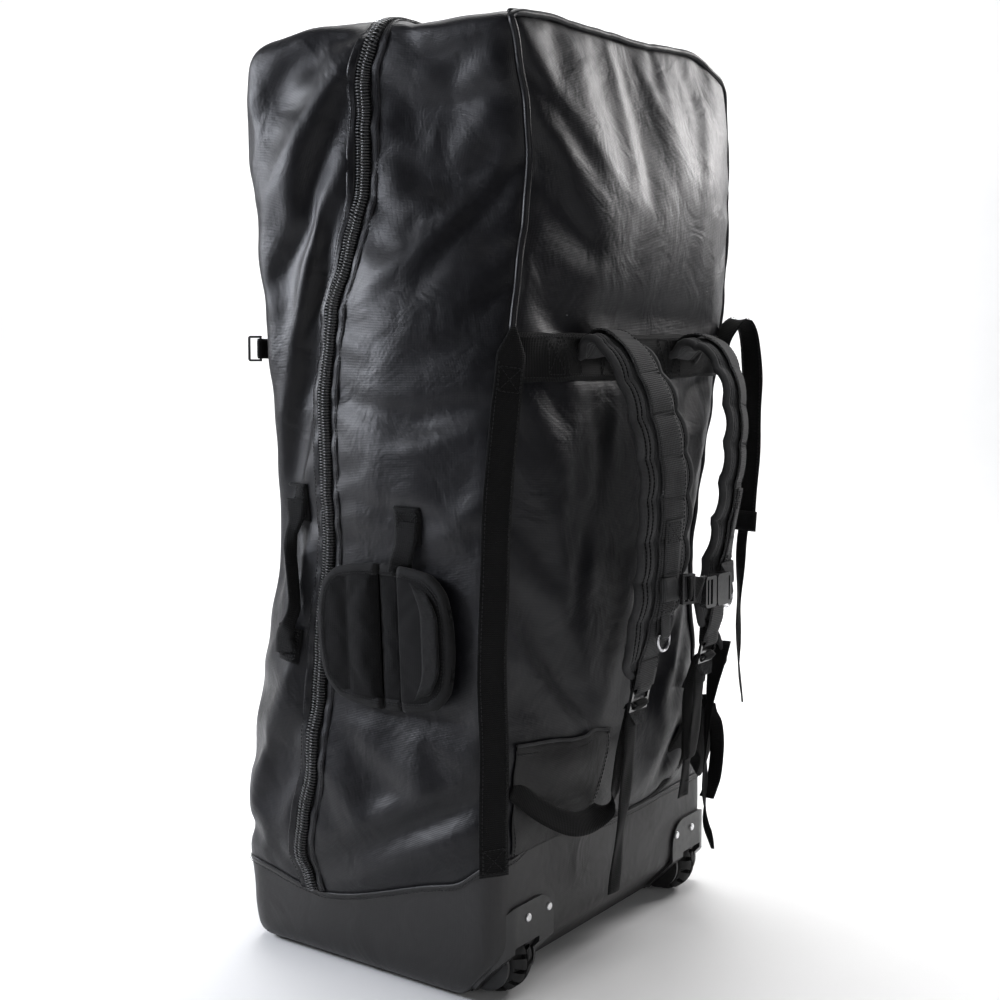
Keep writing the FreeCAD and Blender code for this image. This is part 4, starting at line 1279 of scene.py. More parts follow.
def corner_right():
    """The same webbing on the far corner, folded over and hanging slack off the bag."""
    path = mm([(222, -172, 640), (228, -178, 672), (243, -192, 694), (253, -200, 678), (251, -207, 631),
               (248, -208, 585), (244, -209, 535), (240, -208, 490), (236, -206, 445)])
    a = strap("corner_strap_right_webbing", path, [Vector((0.25, 1, 0.1))] * 2, 0.030, 0.002,
              wobble=0.0006)
    tail = mm([(235.5, -206, 447), (234, -204, 420), (232, -203, 370), (231, -203, 320),
               (228, -206, 272), (225, -212, 232)])
    b = strap("corner_strap_right_tail", tail,
              [Vector((0.25, 1, 0.1)), Vector((0.8, 0.8, 0)), Vector((1, 0.4, 0))],
              lambda t: 0.016 if t < 0.94 else 0.011, 0.0018, wobble=0.0008)
    keeper = strap("corner_strap_right_keeper", mm([(237.5, -207, 464), (236, -206, 440)]),
                   Vector((0.25, 1, 0.1)), 0.034, 0.006)
    rib = Ribbon(path, [Vector((0.25, 1, 0.1))] * 2)
    lines = [rib.line(0.04, rib.length - 0.006, s * 0.0122, h) for s in (-1, 1)
             for h in (0.0014, -0.0014)]
    sewn = thread("corner_strap_right_stitches", lines)
    for o in (a, b, keeper, sewn):
        ride(o, "bag", "corner_strap_right", slot="webbing")


corner_right()


# ------------------------------------------------------------------ padded shoulder straps
HARNESS_X = 0.018
PAD_PATHS = {
    "left": [(92, -174, 646), (96, -194, 666), (95, -222, 657), (91, -252, 607), (84, -267, 535),
             (78, -263, 465), (73, -255, 400), (69, -239, 350), (67, -229, 320)],
    "right": [(92, -174, 646), (96, -196, 666), (98, -224, 663), (96, -250, 628), (91, -261, 570),
              (84, -259, 508), (77, -250, 440), (72, -242, 378), (70, -238, 350)]}
PAD_TURN = {"left": 11.0, "right": 15.0}
SIGN = {"left": -1, "right": 1}
PAD_HALF, PAD_T = 0.0355, 0.0128
CHANNELS = (0.53, 0.71, 0.88)
TACK_PITCH = 0.043
PAD_ROOT_Y = (-0.172, -0.199)
FIRST_TACK = 0.012


def pad_profile(a):
    """Front height and back height of a pad at a, -1 to 1 across it."""
    b = abs(a)
    dip = sum(math.exp(-((b - g) / 0.036) ** 2) for g in CHANNELS)
    crown = (1 - b ** 6)
    front = -0.0004 - 0.0040 * min(1.0, dip) - 0.0038 * (1 - crown)
    rear = -PAD_T + 0.0014 + 0.0018 * min(1.0, dip) + 0.0040 * (1 - crown)
    return front, rear


def closed_pad(name, at, length, half, across, rows, material):
    """A closed quilted pad on a ribbon: front and back skins joined at a narrow edge.
    at(s, a, h) gives points, half(t) the half width."""
    verts, uvs, faces, seams = [], [], [], []
    m = len(across)
    for r in range(rows + 1):
        t = r / rows
        w = half(t)
        for layer in (0, 1):
            order = across if layer == 0 else list(reversed(across))
            for a in order:
                front, rear = pad_profile(a)
                end = ease(min(1.0, min(t, 1 - t) * rows / 2.2))
                mid = (front + rear) / 2
                h = lerp(mid, front if layer == 0 else rear, 0.35 + 0.65 * end)
                if any(abs(abs(a) - g) < 0.02 for g in CHANNELS) or abs(a) > 0.99 or r in (0, rows):
                    seams.append(len(verts))
                verts.append(at(t * length, a * w, h))
                uvs.append((t * length, a * w + layer))
    ring = 2 * m
    for r in range(rows):
        for c in range(ring):
            a, b = r * ring + c, r * ring + (c + 1) % ring
            faces.append((a, b, b + ring, a + ring))
    for base, flip in ((0, False), (rows * ring, True)):
        for c in range(m - 1):
            quad = [base + c, base + c + 1, base + ring - 2 - c, base + ring - 1 - c]
            faces.append(quad if flip else quad[::-1])
    o = make(name, verts, faces, material, uvs)
    finish_normals(o)
    return o, seams


def plump(o, seams, frames=12, pressure=3.0, cap=0.0035, hold=1.0, shrink=-0.01):
    """Cloth simulation of a stitched pad: its seams stay where they are sewn."""
    group = o.vertex_groups.new(name="sewn")
    group.add(seams, hold, "REPLACE")
    rest = [v.co.copy() for v in o.data.vertices]
    mod = o.modifiers.new("Cloth", "CLOTH")
    s = mod.settings
    s.quality = 5
    s.mass = 0.3
    s.tension_stiffness = s.compression_stiffness = 18
    s.shear_stiffness = 8
    s.bending_stiffness = 0.2
    s.use_pressure = True
    s.uniform_pressure_force = pressure
    s.shrink_min = shrink
    s.vertex_group_mass = group.name
    s.effector_weights.gravity = 0.0
    mod.collision_settings.use_collision = False
    mod.point_cache.frame_start, mod.point_cache.frame_end = 1, frames + 4
    scene = bpy.context.scene
    for f in range(1, frames + 1):
        scene.frame_set(f)
    dg = bpy.context.evaluated_depsgraph_get()
    done = [v.co.copy() for v in o.evaluated_get(dg).data.vertices]
    o.modifiers.clear()
    o.vertex_groups.clear()
    for v, a, b in zip(o.data.vertices, rest, done):
        d = b - a
        v.co = a + (d * (cap / d.length) if d.length > cap else d)
    o.data.update()
    scene.frame_set(1)
    return o


def leaning(side, f):
    """The way across a shoulder strap: square at its ends, turned outwards between."""
    a = math.radians(PAD_TURN[side]) * ease(f / 0.35) * (1 - 0.75 * ease((f - 0.70) / 0.25))
    return Vector((math.cos(a), SIGN[side] * math.sin(a), 0))


def tack_lines(rib, s, half, lift, height=0.0028, pitch=0.0011):
    """The short upright stitches of one bar-tack across a band."""
    count = int(2 * half / pitch)
    return [[rib.at(s - height / 2, -half + pitch * i, lift),
             rib.at(s + height / 2, -half + pitch * (i + 0.35), lift)] for i in range(count + 1)]


def shoulder(side):
    sign = SIGN[side]
    body = "shoulder_" + side
    pts = mm([(18 + sign * x, y, z) for x, y, z in PAD_PATHS[side]])
    ways = [leaning(side, i / 16) for i in range(17)]
    rib = Ribbon(pts, ways, 0.004)
    reach = rib.length
    root_a, root_b = [Vector((pts[0].x, y, pts[0].z)) for y in PAD_ROOT_Y]

    def wide(t):
        low = 1.0 if t < 0.90 else math.sqrt(max(0.0, 1 - ((t - 0.90) / 0.115) ** 2))
        return PAD_HALF * (0.86 + 0.14 * ease(t / 0.2)) * max(0.45, low)

    def puffed(s):
        return abs(math.sin(math.pi * (s - FIRST_TACK) / TACK_PITCH)) ** 0.55

    def at(s, a, h):
        drop = 0.012 * ease((s / reach - 0.8) / 0.2) * clamp(-sign * -a / PAD_HALF)
        sag = 0.0022 * (a / PAD_HALF) ** 2
        rim = ease((abs(a) / PAD_HALF - 0.40) / 0.15)
        swollen = (puffed(s) - 0.6) * 0.0060 * rim if h > -PAD_T / 2 else 0.0
        return rib.at(s, a * (1 - 0.06 * (1 - puffed(s)) * rim), h - sag + swollen) - Z * drop

    across = [-1.0, -0.94, -0.88, -0.83, -0.77, -0.71, -0.66, -0.59, -0.53, -0.45, -0.30, -0.1]
    across = across + [-a for a in reversed(across)]
    rows = int(reach / 0.0048)
    pad, seams = closed_pad("shoulder_pad_" + side + "_quilt", at, reach, wide, across, rows, "pad")
    plump(pad, seams, pressure=4.0, cap=0.0030)
    subdivide(pad)
    flex(pad, "bag", body, root_a, root_b, "shoulder_pad_" + side, slot="padding")

    # binding round the edge; channel stitches in the near-black webbing material, so the real stitches
    # also carry painted shade along the quilting channels
    edge = []
    for t in [i / 70 for i in range(71)]:
        edge.append(at(t * reach, -wide(t) * 1.0, -PAD_T / 2 + 0.0004))
    edge_b = [at((1 - i / 70) * reach, wide(1 - i / 70), -PAD_T / 2 + 0.0004) for i in range(71)]
    bottom = [at(reach + 0.001, lerp(-1, 1, i / 8) * wide(1.0), -PAD_T / 2) for i in range(1, 8)]
    outline = edge + bottom + edge_b
    binding = tube("pad_binding_" + side, outline, 0.0046, "bind", 0.006, 8)
    rows_ = []
    for g in (0.71, 0.88):
        for s in (-1, 1):
            line = []
            for i in range(90):
                t = 0.03 + 0.92 * i / 89
                line.append(at(t * reach, s * g * wide(t), -0.0030))
            rows_.append(line)
    # the near-black webbing colour of these channel stitches is painted shade for the channel creases
    sewn = thread("pad_stitches_" + side, rows_, 0.0040, 0.0006, 0.0007, "web")
    for o in (binding, sewn):
        flex(o, "bag", body, root_a, root_b, "shoulder_pad_" + side, slot="webbing")

    # wide webbing down the middle, puffed between its bar-tacks
    ext = pts + [pts[-1] + Vector((-sign * 0.0005, 0.004, -0.019))]
    long = Ribbon(ext, ways, 0.004)

    def lift(s):
        return 0.0012 + 0.0026 * abs(math.sin(math.pi * (s - FIRST_TACK) / TACK_PITCH)) ** 0.6

    line = long.line(FIRST_TACK, long.length - 0.001, 0.0, lift, 0.004)
    over = strap("pad_overlay_" + side + "_webbing", line, ways, 0.038, 0.0019, "band", step=0.004)
    tacks = []
    s = FIRST_TACK + TACK_PITCH
    while s < reach - 0.01:
        for off in (-0.0022, 0.0022):
            tacks += tack_lines(long, s + off, 0.0165, 0.0026)
        s += TACK_PITCH
    tacks += tack_lines(long, reach - 0.006, 0.0165, 0.0026)
    edges = [long.line(FIRST_TACK + 0.004, reach, a, lambda q: lift(q) + 0.0010)
             for a in (-0.0165, 0.0165)]
    bars = thread("pad_overlay_" + side + "_tacks", tacks, 0.0030, 0.0, 0.0005)
    edge_rows = thread("pad_overlay_" + side + "_stitches", edges)
    for o in (over, bars, edge_rows):
        flex(o, "bag", body, root_a, root_b, "pad_overlay_" + side, slot="webbing")

    # webbing loop round the lock's upper bar
    bar = Vector((pts[-1].x, pts[-1].y + 0.004, pts[-1].z - 0.021))
    turn = [bar + Vector((0, -0.0040, 0.022)), bar + Vector((0, -0.0044, 0.010)),
            bar + Vector((0, -0.0040, 0.0)), bar + Vector((0, 0, -0.0040)),
            bar + Vector((0, 0.0040, 0.0)), bar + Vector((0, 0.0040, 0.010)),
            bar + Vector((0, 0.0030, 0.024))]
    loop = strap("lock_loop_" + side, turn, X, 0.029, 0.0017, "band", step=0.002)
    ride(loop, body, "pad_overlay_" + side, slot="webbing")

    # narrower webbing over it with the ring loop, box-stitched at the top
    tab_top, tab_low = reach * 0.60, reach * 0.845
    tab_line = long.line(tab_top, tab_low, 0.0, lambda q: 0.0056, 0.004)
    tab_ways = [leaning(side, lerp(0.60, 0.845, i / 6)) for i in range(7)]
    tab = strap("pad_tab_" + side + "_webbing", tab_line, tab_ways, 0.025, 0.0019, "band", step=0.004,
                wobble=0.0003)
    tab_rib = Ribbon(tab_line, tab_ways)
    p, t, w, n = tab_rib.frame(0.013)
    lines = box_stitch(p + n * 0.0013, w, t, 0.019, 0.020)
    p, t, w, n = tab_rib.frame(tab_rib.length - 0.012)
    lines += box_stitch(p + n * 0.0013, w, t, 0.019, 0.014)
    lines += tack_lines(tab_rib, 0.055, 0.0105, 0.0013)
    sewn = thread("pad_tab_" + side + "_stitches", lines, 0.0032)
    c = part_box("d_ring_" + side)
    bar = Vector(((c[0].x + c[1].x) / 2, (c[0].y + c[1].y) / 2, c[1].z - 0.0015))
    end = tab_line[-1]
    turn = [end + Vector((0, -0.0006, 0.010)), end + Vector((0, -0.0014, 0.002)),
            bar + Vector((0, -0.0026, 0.003)), bar + Vector((0, -0.0028, 0)),
            bar + Vector((0, -0.0008, -0.0030)), bar + Vector((0, 0.0022, -0.0018)),
            bar + Vector((0, 0.0028, 0.0012)), end + Vector((0, 0.0024, 0.003))]
    ring_loop = strap("ring_loop_" + side, turn, X, 0.019, 0.0015, "band", step=0.002)
    for o in (tab, sewn, ring_loop):
        ride(o, body, "pad_tabs_" + side, slot="webbing")


shoulder("left")
shoulder("right")


# ------------------------------------------------------------------ chest strap
def on_pad(side, z):
    """x and y of a shoulder strap's front surface at height z, in metres."""
    below = [p for p in PAD_PATHS[side] if p[2] <= z * 1000][0]
    above = [p for p in PAD_PATHS[side] if p[2] > z * 1000][-1]
    k = (z * 1000 - below[2]) / (above[2] - below[2])
    x, y = lerp(below[0], above[0], k), lerp(below[1], above[1], k)
    return HARNESS_X + SIGN[side] * x / 1000, y / 1000


def chest():
    cz = 0.408
    for side in ("left", "right"):
        sign = SIGN[side]
        body = "shoulder_" + side
        other = "chest_plug" if side == "left" else None
        cx, y_pad = on_pad(side, cz)
        y0 = y_pad - 0.0090
        lo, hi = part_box("chest_plug" if side == "left" else "chest_socket")
        by, bz = (lo.y + hi.y) / 2, (lo.z + hi.z) / 2
        inner = lo.x + 0.004 if side == "left" else hi.x - 0.004
        start = cx + sign * 0.0155
        loop = [Vector((start, y0 + 0.006, cz)), Vector((start, y0 + 0.001, cz)),
                Vector((cx, y0 - 0.0004, cz)), Vector((cx - sign * 0.0150, y0 - 0.0004, cz))]
        if side == "left":
            t_lo, t_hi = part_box("chest_triglide")
            run = [Vector((t_lo.x + 0.002, t_lo.y + 0.0068, cz)),
                   Vector(((t_lo.x + t_hi.x) / 2 + 0.001, (t_lo.y + t_hi.y) / 2 + 0.0005, cz)),
                   Vector((t_hi.x + 0.004, t_hi.y - 0.0020, cz - 0.002)),
                   Vector((t_hi.x + 0.012, by + 0.0030, cz - 0.005)), Vector((inner, by, bz))]
        else:
            run = [Vector((cx - sign * 0.024, y0 - 0.004, cz - 0.002)),
                   Vector((inner + 0.008, by + 0.003, bz + 0.002)), Vector((inner, by, bz))]
        twist = [Z] * 5 + ([Z, Z, Z * 0.96 + Y * 0.28, Z * 0.94 - Y * 0.34, Z] if other else [Z, Z, Z])
        web = strap("chest_webbing_" + side + "_band", loop + run, twist, 0.0245, 0.0017, "band",
                    step=0.003, wobble=0.0004)
        pieces = [web]
        if other:
            tail = [run[0] + Vector((0.002, -0.0052, 0)), run[1] + Vector((0.002, -0.0046, 0)),
                    run[2] + Vector((0, -0.0050, 0.001)), run[3] + Vector((0.004, -0.0055, 0.002))]
            pieces.append(strap("chest_webbing_left_fold", tail, [Z, Z * 0.95 - Y * 0.3], 0.0235,
                                0.0016, step=0.003))
        for o in pieces:
            if other:
                flex(o, body, other, run[2], run[4], "chest_webbing_" + side, slot="webbing")
            else:
                ride(o, body, "chest_webbing_" + side, slot="webbing")


chest()


# ------------------------------------------------------------------ lower webbing
def lower(side):
    sign = SIGN[side]
    body = "shoulder_" + side
    lo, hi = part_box("ladder_lock_" + side)
    lock = Vector(((lo.x + hi.x) / 2, 0, hi.z - 0.004))
    lock.y = {"left": -0.225, "right": -0.234}[side]
    route = {"left": [(-208, -172, 222), (-178, -186, 194), (-142, -199, 174), (-106, -204, 172),
                      (-74, -207, 188), (-58, -208, 232), (-48, -213, 276)],
             "right": [(190, -180, 244), (178, -188, 208), (146, -194, 172), (110, -202, 184),
                       (94, -206, 232), (84, -213, 276)]}[side]
    path = mm(route)
    turn = len(path) - 2
    path = path + [lock + Vector((0, 0.013, -0.018)), lock + Vector((0, 0.004, -0.012)),
                            lock + Vector((0, -0.0030, -0.016)), lock + Vector((0, 0.004, -0.022)),
                            lock + Vector((-0.001, 0.0105, -0.030))]
    across = [Vector((0.3, 0.3, 1)), Vector((0, 0.35, 1)), Vector((-sign * 0.3, 0.3, 0.9)),
              Vector((-sign * 0.8, 0.1, 0.4)), Vector((-sign, 0, 0)), Vector((-sign, 0, 0)),
              Vector((-sign, 0, 0))]
    web = strap("adjuster_" + side + "_webbing", path, across, 0.0245, 0.0017, step=0.004,
                wobble=0.0005)
    flex(web, "bag", body, tuple(path[turn - 1]), (lock.x, lock.y + 0.01, lock.z - 0.03),
         "adjuster_" + side, slot="webbing")
    drop = 0.078 if side == "left" else 0.150
    tail = [lock + Vector((-0.001, 0.0060, -0.024)), lock + Vector((-0.002, 0.0095, -0.034)),
            lock + Vector((-0.004, 0.010, -0.060)), lock + Vector((-0.006, 0.016, -0.130)),
            Vector((lock.x - 0.007, lock.y + 0.021, lerp(lock.z, drop, 0.75))),
            Vector((lock.x - 0.008, lock.y + 0.026, drop))]
    end = strap("adjuster_tail_" + side + "_webbing", tail, [X, X, Vector((1, 0.12, 0)), X], 0.0245,
                0.0017, step=0.005, wobble=0.0007)
    hem = Ribbon(tail, X)
    sewn = thread("adjuster_tail_" + side + "_stitches",
                  [[hem.at(hem.length - s, -0.0105, h), hem.at(hem.length - s, 0.0105, h)]
                   for s in (0.004, 0.018) for h in (0.0013, -0.0013)], 0.0032)
    for o in (end, sewn):
        ride(o, body, "adjuster_tail_" + side, slot="webbing")


lower("left")
lower("right")


# ------------------------------------------------------------------ waist belt
def waist():
    path = mm([(20, -171, 160), (62, -171.5, 162), (104, -173, 172), (146, -175, 196),
               (188, -177, 240)])
    across = [Z, Z, Vector((-0.3, 0, 0.95)), Vector((-0.7, 0, 0.7))]
    band_ = strap("waist_band_webbing", path, across, lambda t: lerp(0.036, 0.044, t), 0.0022)
    rib = Ribbon(path, across)
    p, t, w, n = rib.frame(0.018)
    lines = box_stitch(p + n * 0.0016, w, t, 0.028, 0.028)
    lines += [rib.line(0.004, rib.length, a, 0.0015) for a in (-0.015, 0.015)]
    sewn = thread("waist_band_stitches", lines, 0.0044)
    for o in (band_, sewn):
        ride(o, "bag", "waist_band", slot="webbing")

    pts = mm([(152, -187, 262), (152, -196, 291), (147, -212, 313), (128, -234, 320)])
    rib = Ribbon(pts, [Vector((1, 0, 0)), Vector((0.8, 0.3, 0.4)), Vector((0.2, 0.6, 0.8))], 0.004)
    across = [-1.0, -0.93, -0.84, -0.7, -0.5, -0.25, 0.0, 0.25, 0.5, 0.7, 0.84, 0.93, 1.0]

    def at(s, a, h):
        return rib.at(s, a, (h + PAD_T / 2) * 0.75 + 0.004)

    def half(t):
        return 0.0235 * (1.0 if t < 0.8 else max(0.5, math.sqrt(1 - ((t - 0.8) / 0.24) ** 2)))

    pad, seams = closed_pad("waist_wing_pad", at, rib.length, half, across, 20, "pad")
    plump(pad, seams, cap=0.0025)
    subdivide(pad)
    outline = [at(rib.length * i / 24, -half(i / 24), -PAD_T / 2) for i in range(25)]
    outline += [at(rib.length, lerp(-1, 1, i / 6) * half(1.0), -PAD_T / 2) for i in range(1, 6)]
    outline += [at(rib.length * (1 - i / 24), half(1 - i / 24), -PAD_T / 2) for i in range(25)]
    edge = tube("waist_wing_binding", outline, 0.0030, "bind", 0.005, 8)
    ride(pad, "waist_wing", "waist_wing", slot="padding")
    ride(edge, "waist_wing", "waist_wing", slot="webbing")
    tail = mm([(128, -233, 324), (122, -232, 310), (124, -222, 276), (125, -215, 225),
               (125, -213, 165), (126, -214, 115), (131, -221, 78)])
    a = strap("waist_tail_webbing", tail, [Vector((0, 1, 0)), Vector((0.6, 0.8, 0)),
                                           Vector((1, 0.2, 0)), Vector((0.5, 0.9, 0))],
              lambda t: 0.020 if t < 0.9 else lerp(0.020, 0.007, (t - 0.9) * 10), 0.0016, wobble=0.0008)
    loop = mm([(126, -216, 252), (135, -214, 240), (148, -214, 224), (154, -214, 196),
               (149, -214, 162), (137, -214, 146), (128, -214, 138)])
    b = strap("waist_loop_webbing", loop, Y, 0.018, 0.0016, wobble=0.0006)
    for o in (a, b):
        ride(o, "waist_wing", "waist_webbing", slot="webbing")


waist()


# ------------------------------------------------------------------ side handles and the grip wrap
def side_point(y, z, off):
    q = SKIN.snap((-0.30, y, z))[0]
    for _ in range(3):
        q = SKIN.snap((q.x - 0.03, y, z))[0]
    return Vector((q.x - off, y, z))


def patch(name, node, body, y, z, width, height, turn=0.0):
    """A sewn square of folded webbing with an X-box and a turned top edge."""
    c, n = SKIN.snap(side_point(y, z, 0.0))
    up = (Z - n * Z.dot(n)).normalized()
    right = up.cross(n).normalized()
    up = (up * math.cos(turn) + right * math.sin(turn)).normalized()
    right = up.cross(n).normalized()
    path = [c + up * (height * (0.5 - i / 4)) for i in range(5)]
    o = laid(name, path, right, width, 0.0030, 0.0008, step=0.004, cells=6)
    ride(o, body, node, slot="webbing")
    lines = snapped(box_stitch(c, right, up, width - 0.007, height - 0.008), 0.0040)
    lines += snapped(box_stitch(c, right, up, width - 0.011, height - 0.012, cross=False), 0.0040)
    ride(thread(name + "_stitches", lines, 0.0032), body, node, slot="webbing")
    fold = tube(name + "_top", [c + up * (height * 0.5) + right * a + n * 0.0022
                                for a in (-width / 2, 0, width / 2)], 0.0019, "web", 0.004)
    ride(fold, body, node, slot="webbing")
    return c, n


GRIPS = {"front": ("front_half", "front_grip"), "back": ("bag", "back_grip")}


def grip(which):
    base, moving = GRIPS[which]
    lo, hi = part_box(which + "_handle_patches")
    y = (lo.y + hi.y) / 2
    top_z, low_z = hi.z - 0.019, lo.z + 0.019
    node = which + "_handle_patches"
    patch(which + "_handle_patch_top", node, base, y, top_z, 0.033, 0.038)
    patch(which + "_handle_patch_low", node, base, y, low_z, 0.033, 0.036,
          0.12 if which == "front" else 0.0)
    if which == "front":
        route = [(y, top_z + 0.004, 0.0030), (y + 0.001, top_z - 0.018, 0.0060),
                 (y + 0.002, top_z - 0.034, 0.0085), (y - 0.002, top_z - 0.052, 0.0090),
                 (y - 0.008, top_z - 0.085, 0.0070), (y - 0.012, top_z - 0.110, 0.0070),
                 (y - 0.006, low_z + 0.022, 0.0085), (y + 0.001, low_z + 0.008, 0.0060),
                 (y, low_z - 0.008, 0.0030)]
        across = [Y, Y, Y * 0.8 - X * 0.3, Y * 0.35 - X * 0.9, Y * 0.3 - X * 0.95, Y * 0.3 - X * 0.95,
                  Y * 0.7 - X * 0.7, Y, Y]
        wide = (lambda t: lerp(0.030, 0.014, ease(min(t, 1 - t) * 4.2)))
        thick = 0.0042
    else:
        route = [(y, top_z + 0.004, 0.0030), (y + 0.001, top_z - 0.018, 0.0055),
                 (y + 0.004, top_z - 0.036, 0.0090), (y + 0.010, top_z - 0.055, 0.0045),
                 (y + 0.014, top_z - 0.075, 0.0030), (y + 0.010, low_z + 0.045, 0.0030),
                 (y + 0.002, low_z + 0.010, 0.0035), (y, low_z - 0.008, 0.0030)]
        across = [Y, Y, Y * 0.9 - X * 0.3, Y, Y, Y, Y]
        wide = (lambda t: lerp(0.031, 0.026, ease(min(t, 1 - t) * 4.2)))
        thick = 0.0024
    pts = [side_point(yy, zz, off) for yy, zz, off in route]
    rib = Ribbon(pts, across, 0.004)
    mid = rib.length * (0.42 if which == "front" else 0.45)

    for part, s0, s1 in (("upper", 0.0, mid), ("lower", mid, rib.length)):
        line = rib.line(s0, s1, 0.0, 0.0, 0.003)
        ways = [rib.frame(lerp(s0, s1, i / 8))[2] for i in range(9)]
        o = strap(which + "_handle_" + part, line, ways,
                  lambda t, a=s0, b=s1: wide(lerp(a, b, t) / rib.length), thick, step=0.003,
                  wobble=0.0003)
        start = line[0] if part == "upper" else line[-1]
        end = line[-1] if part == "upper" else line[0]
        flex(o, base, moving, start, start.lerp(end, 0.92), which + "_handle_loop", slot="webbing")


grip("front")
grip("back")


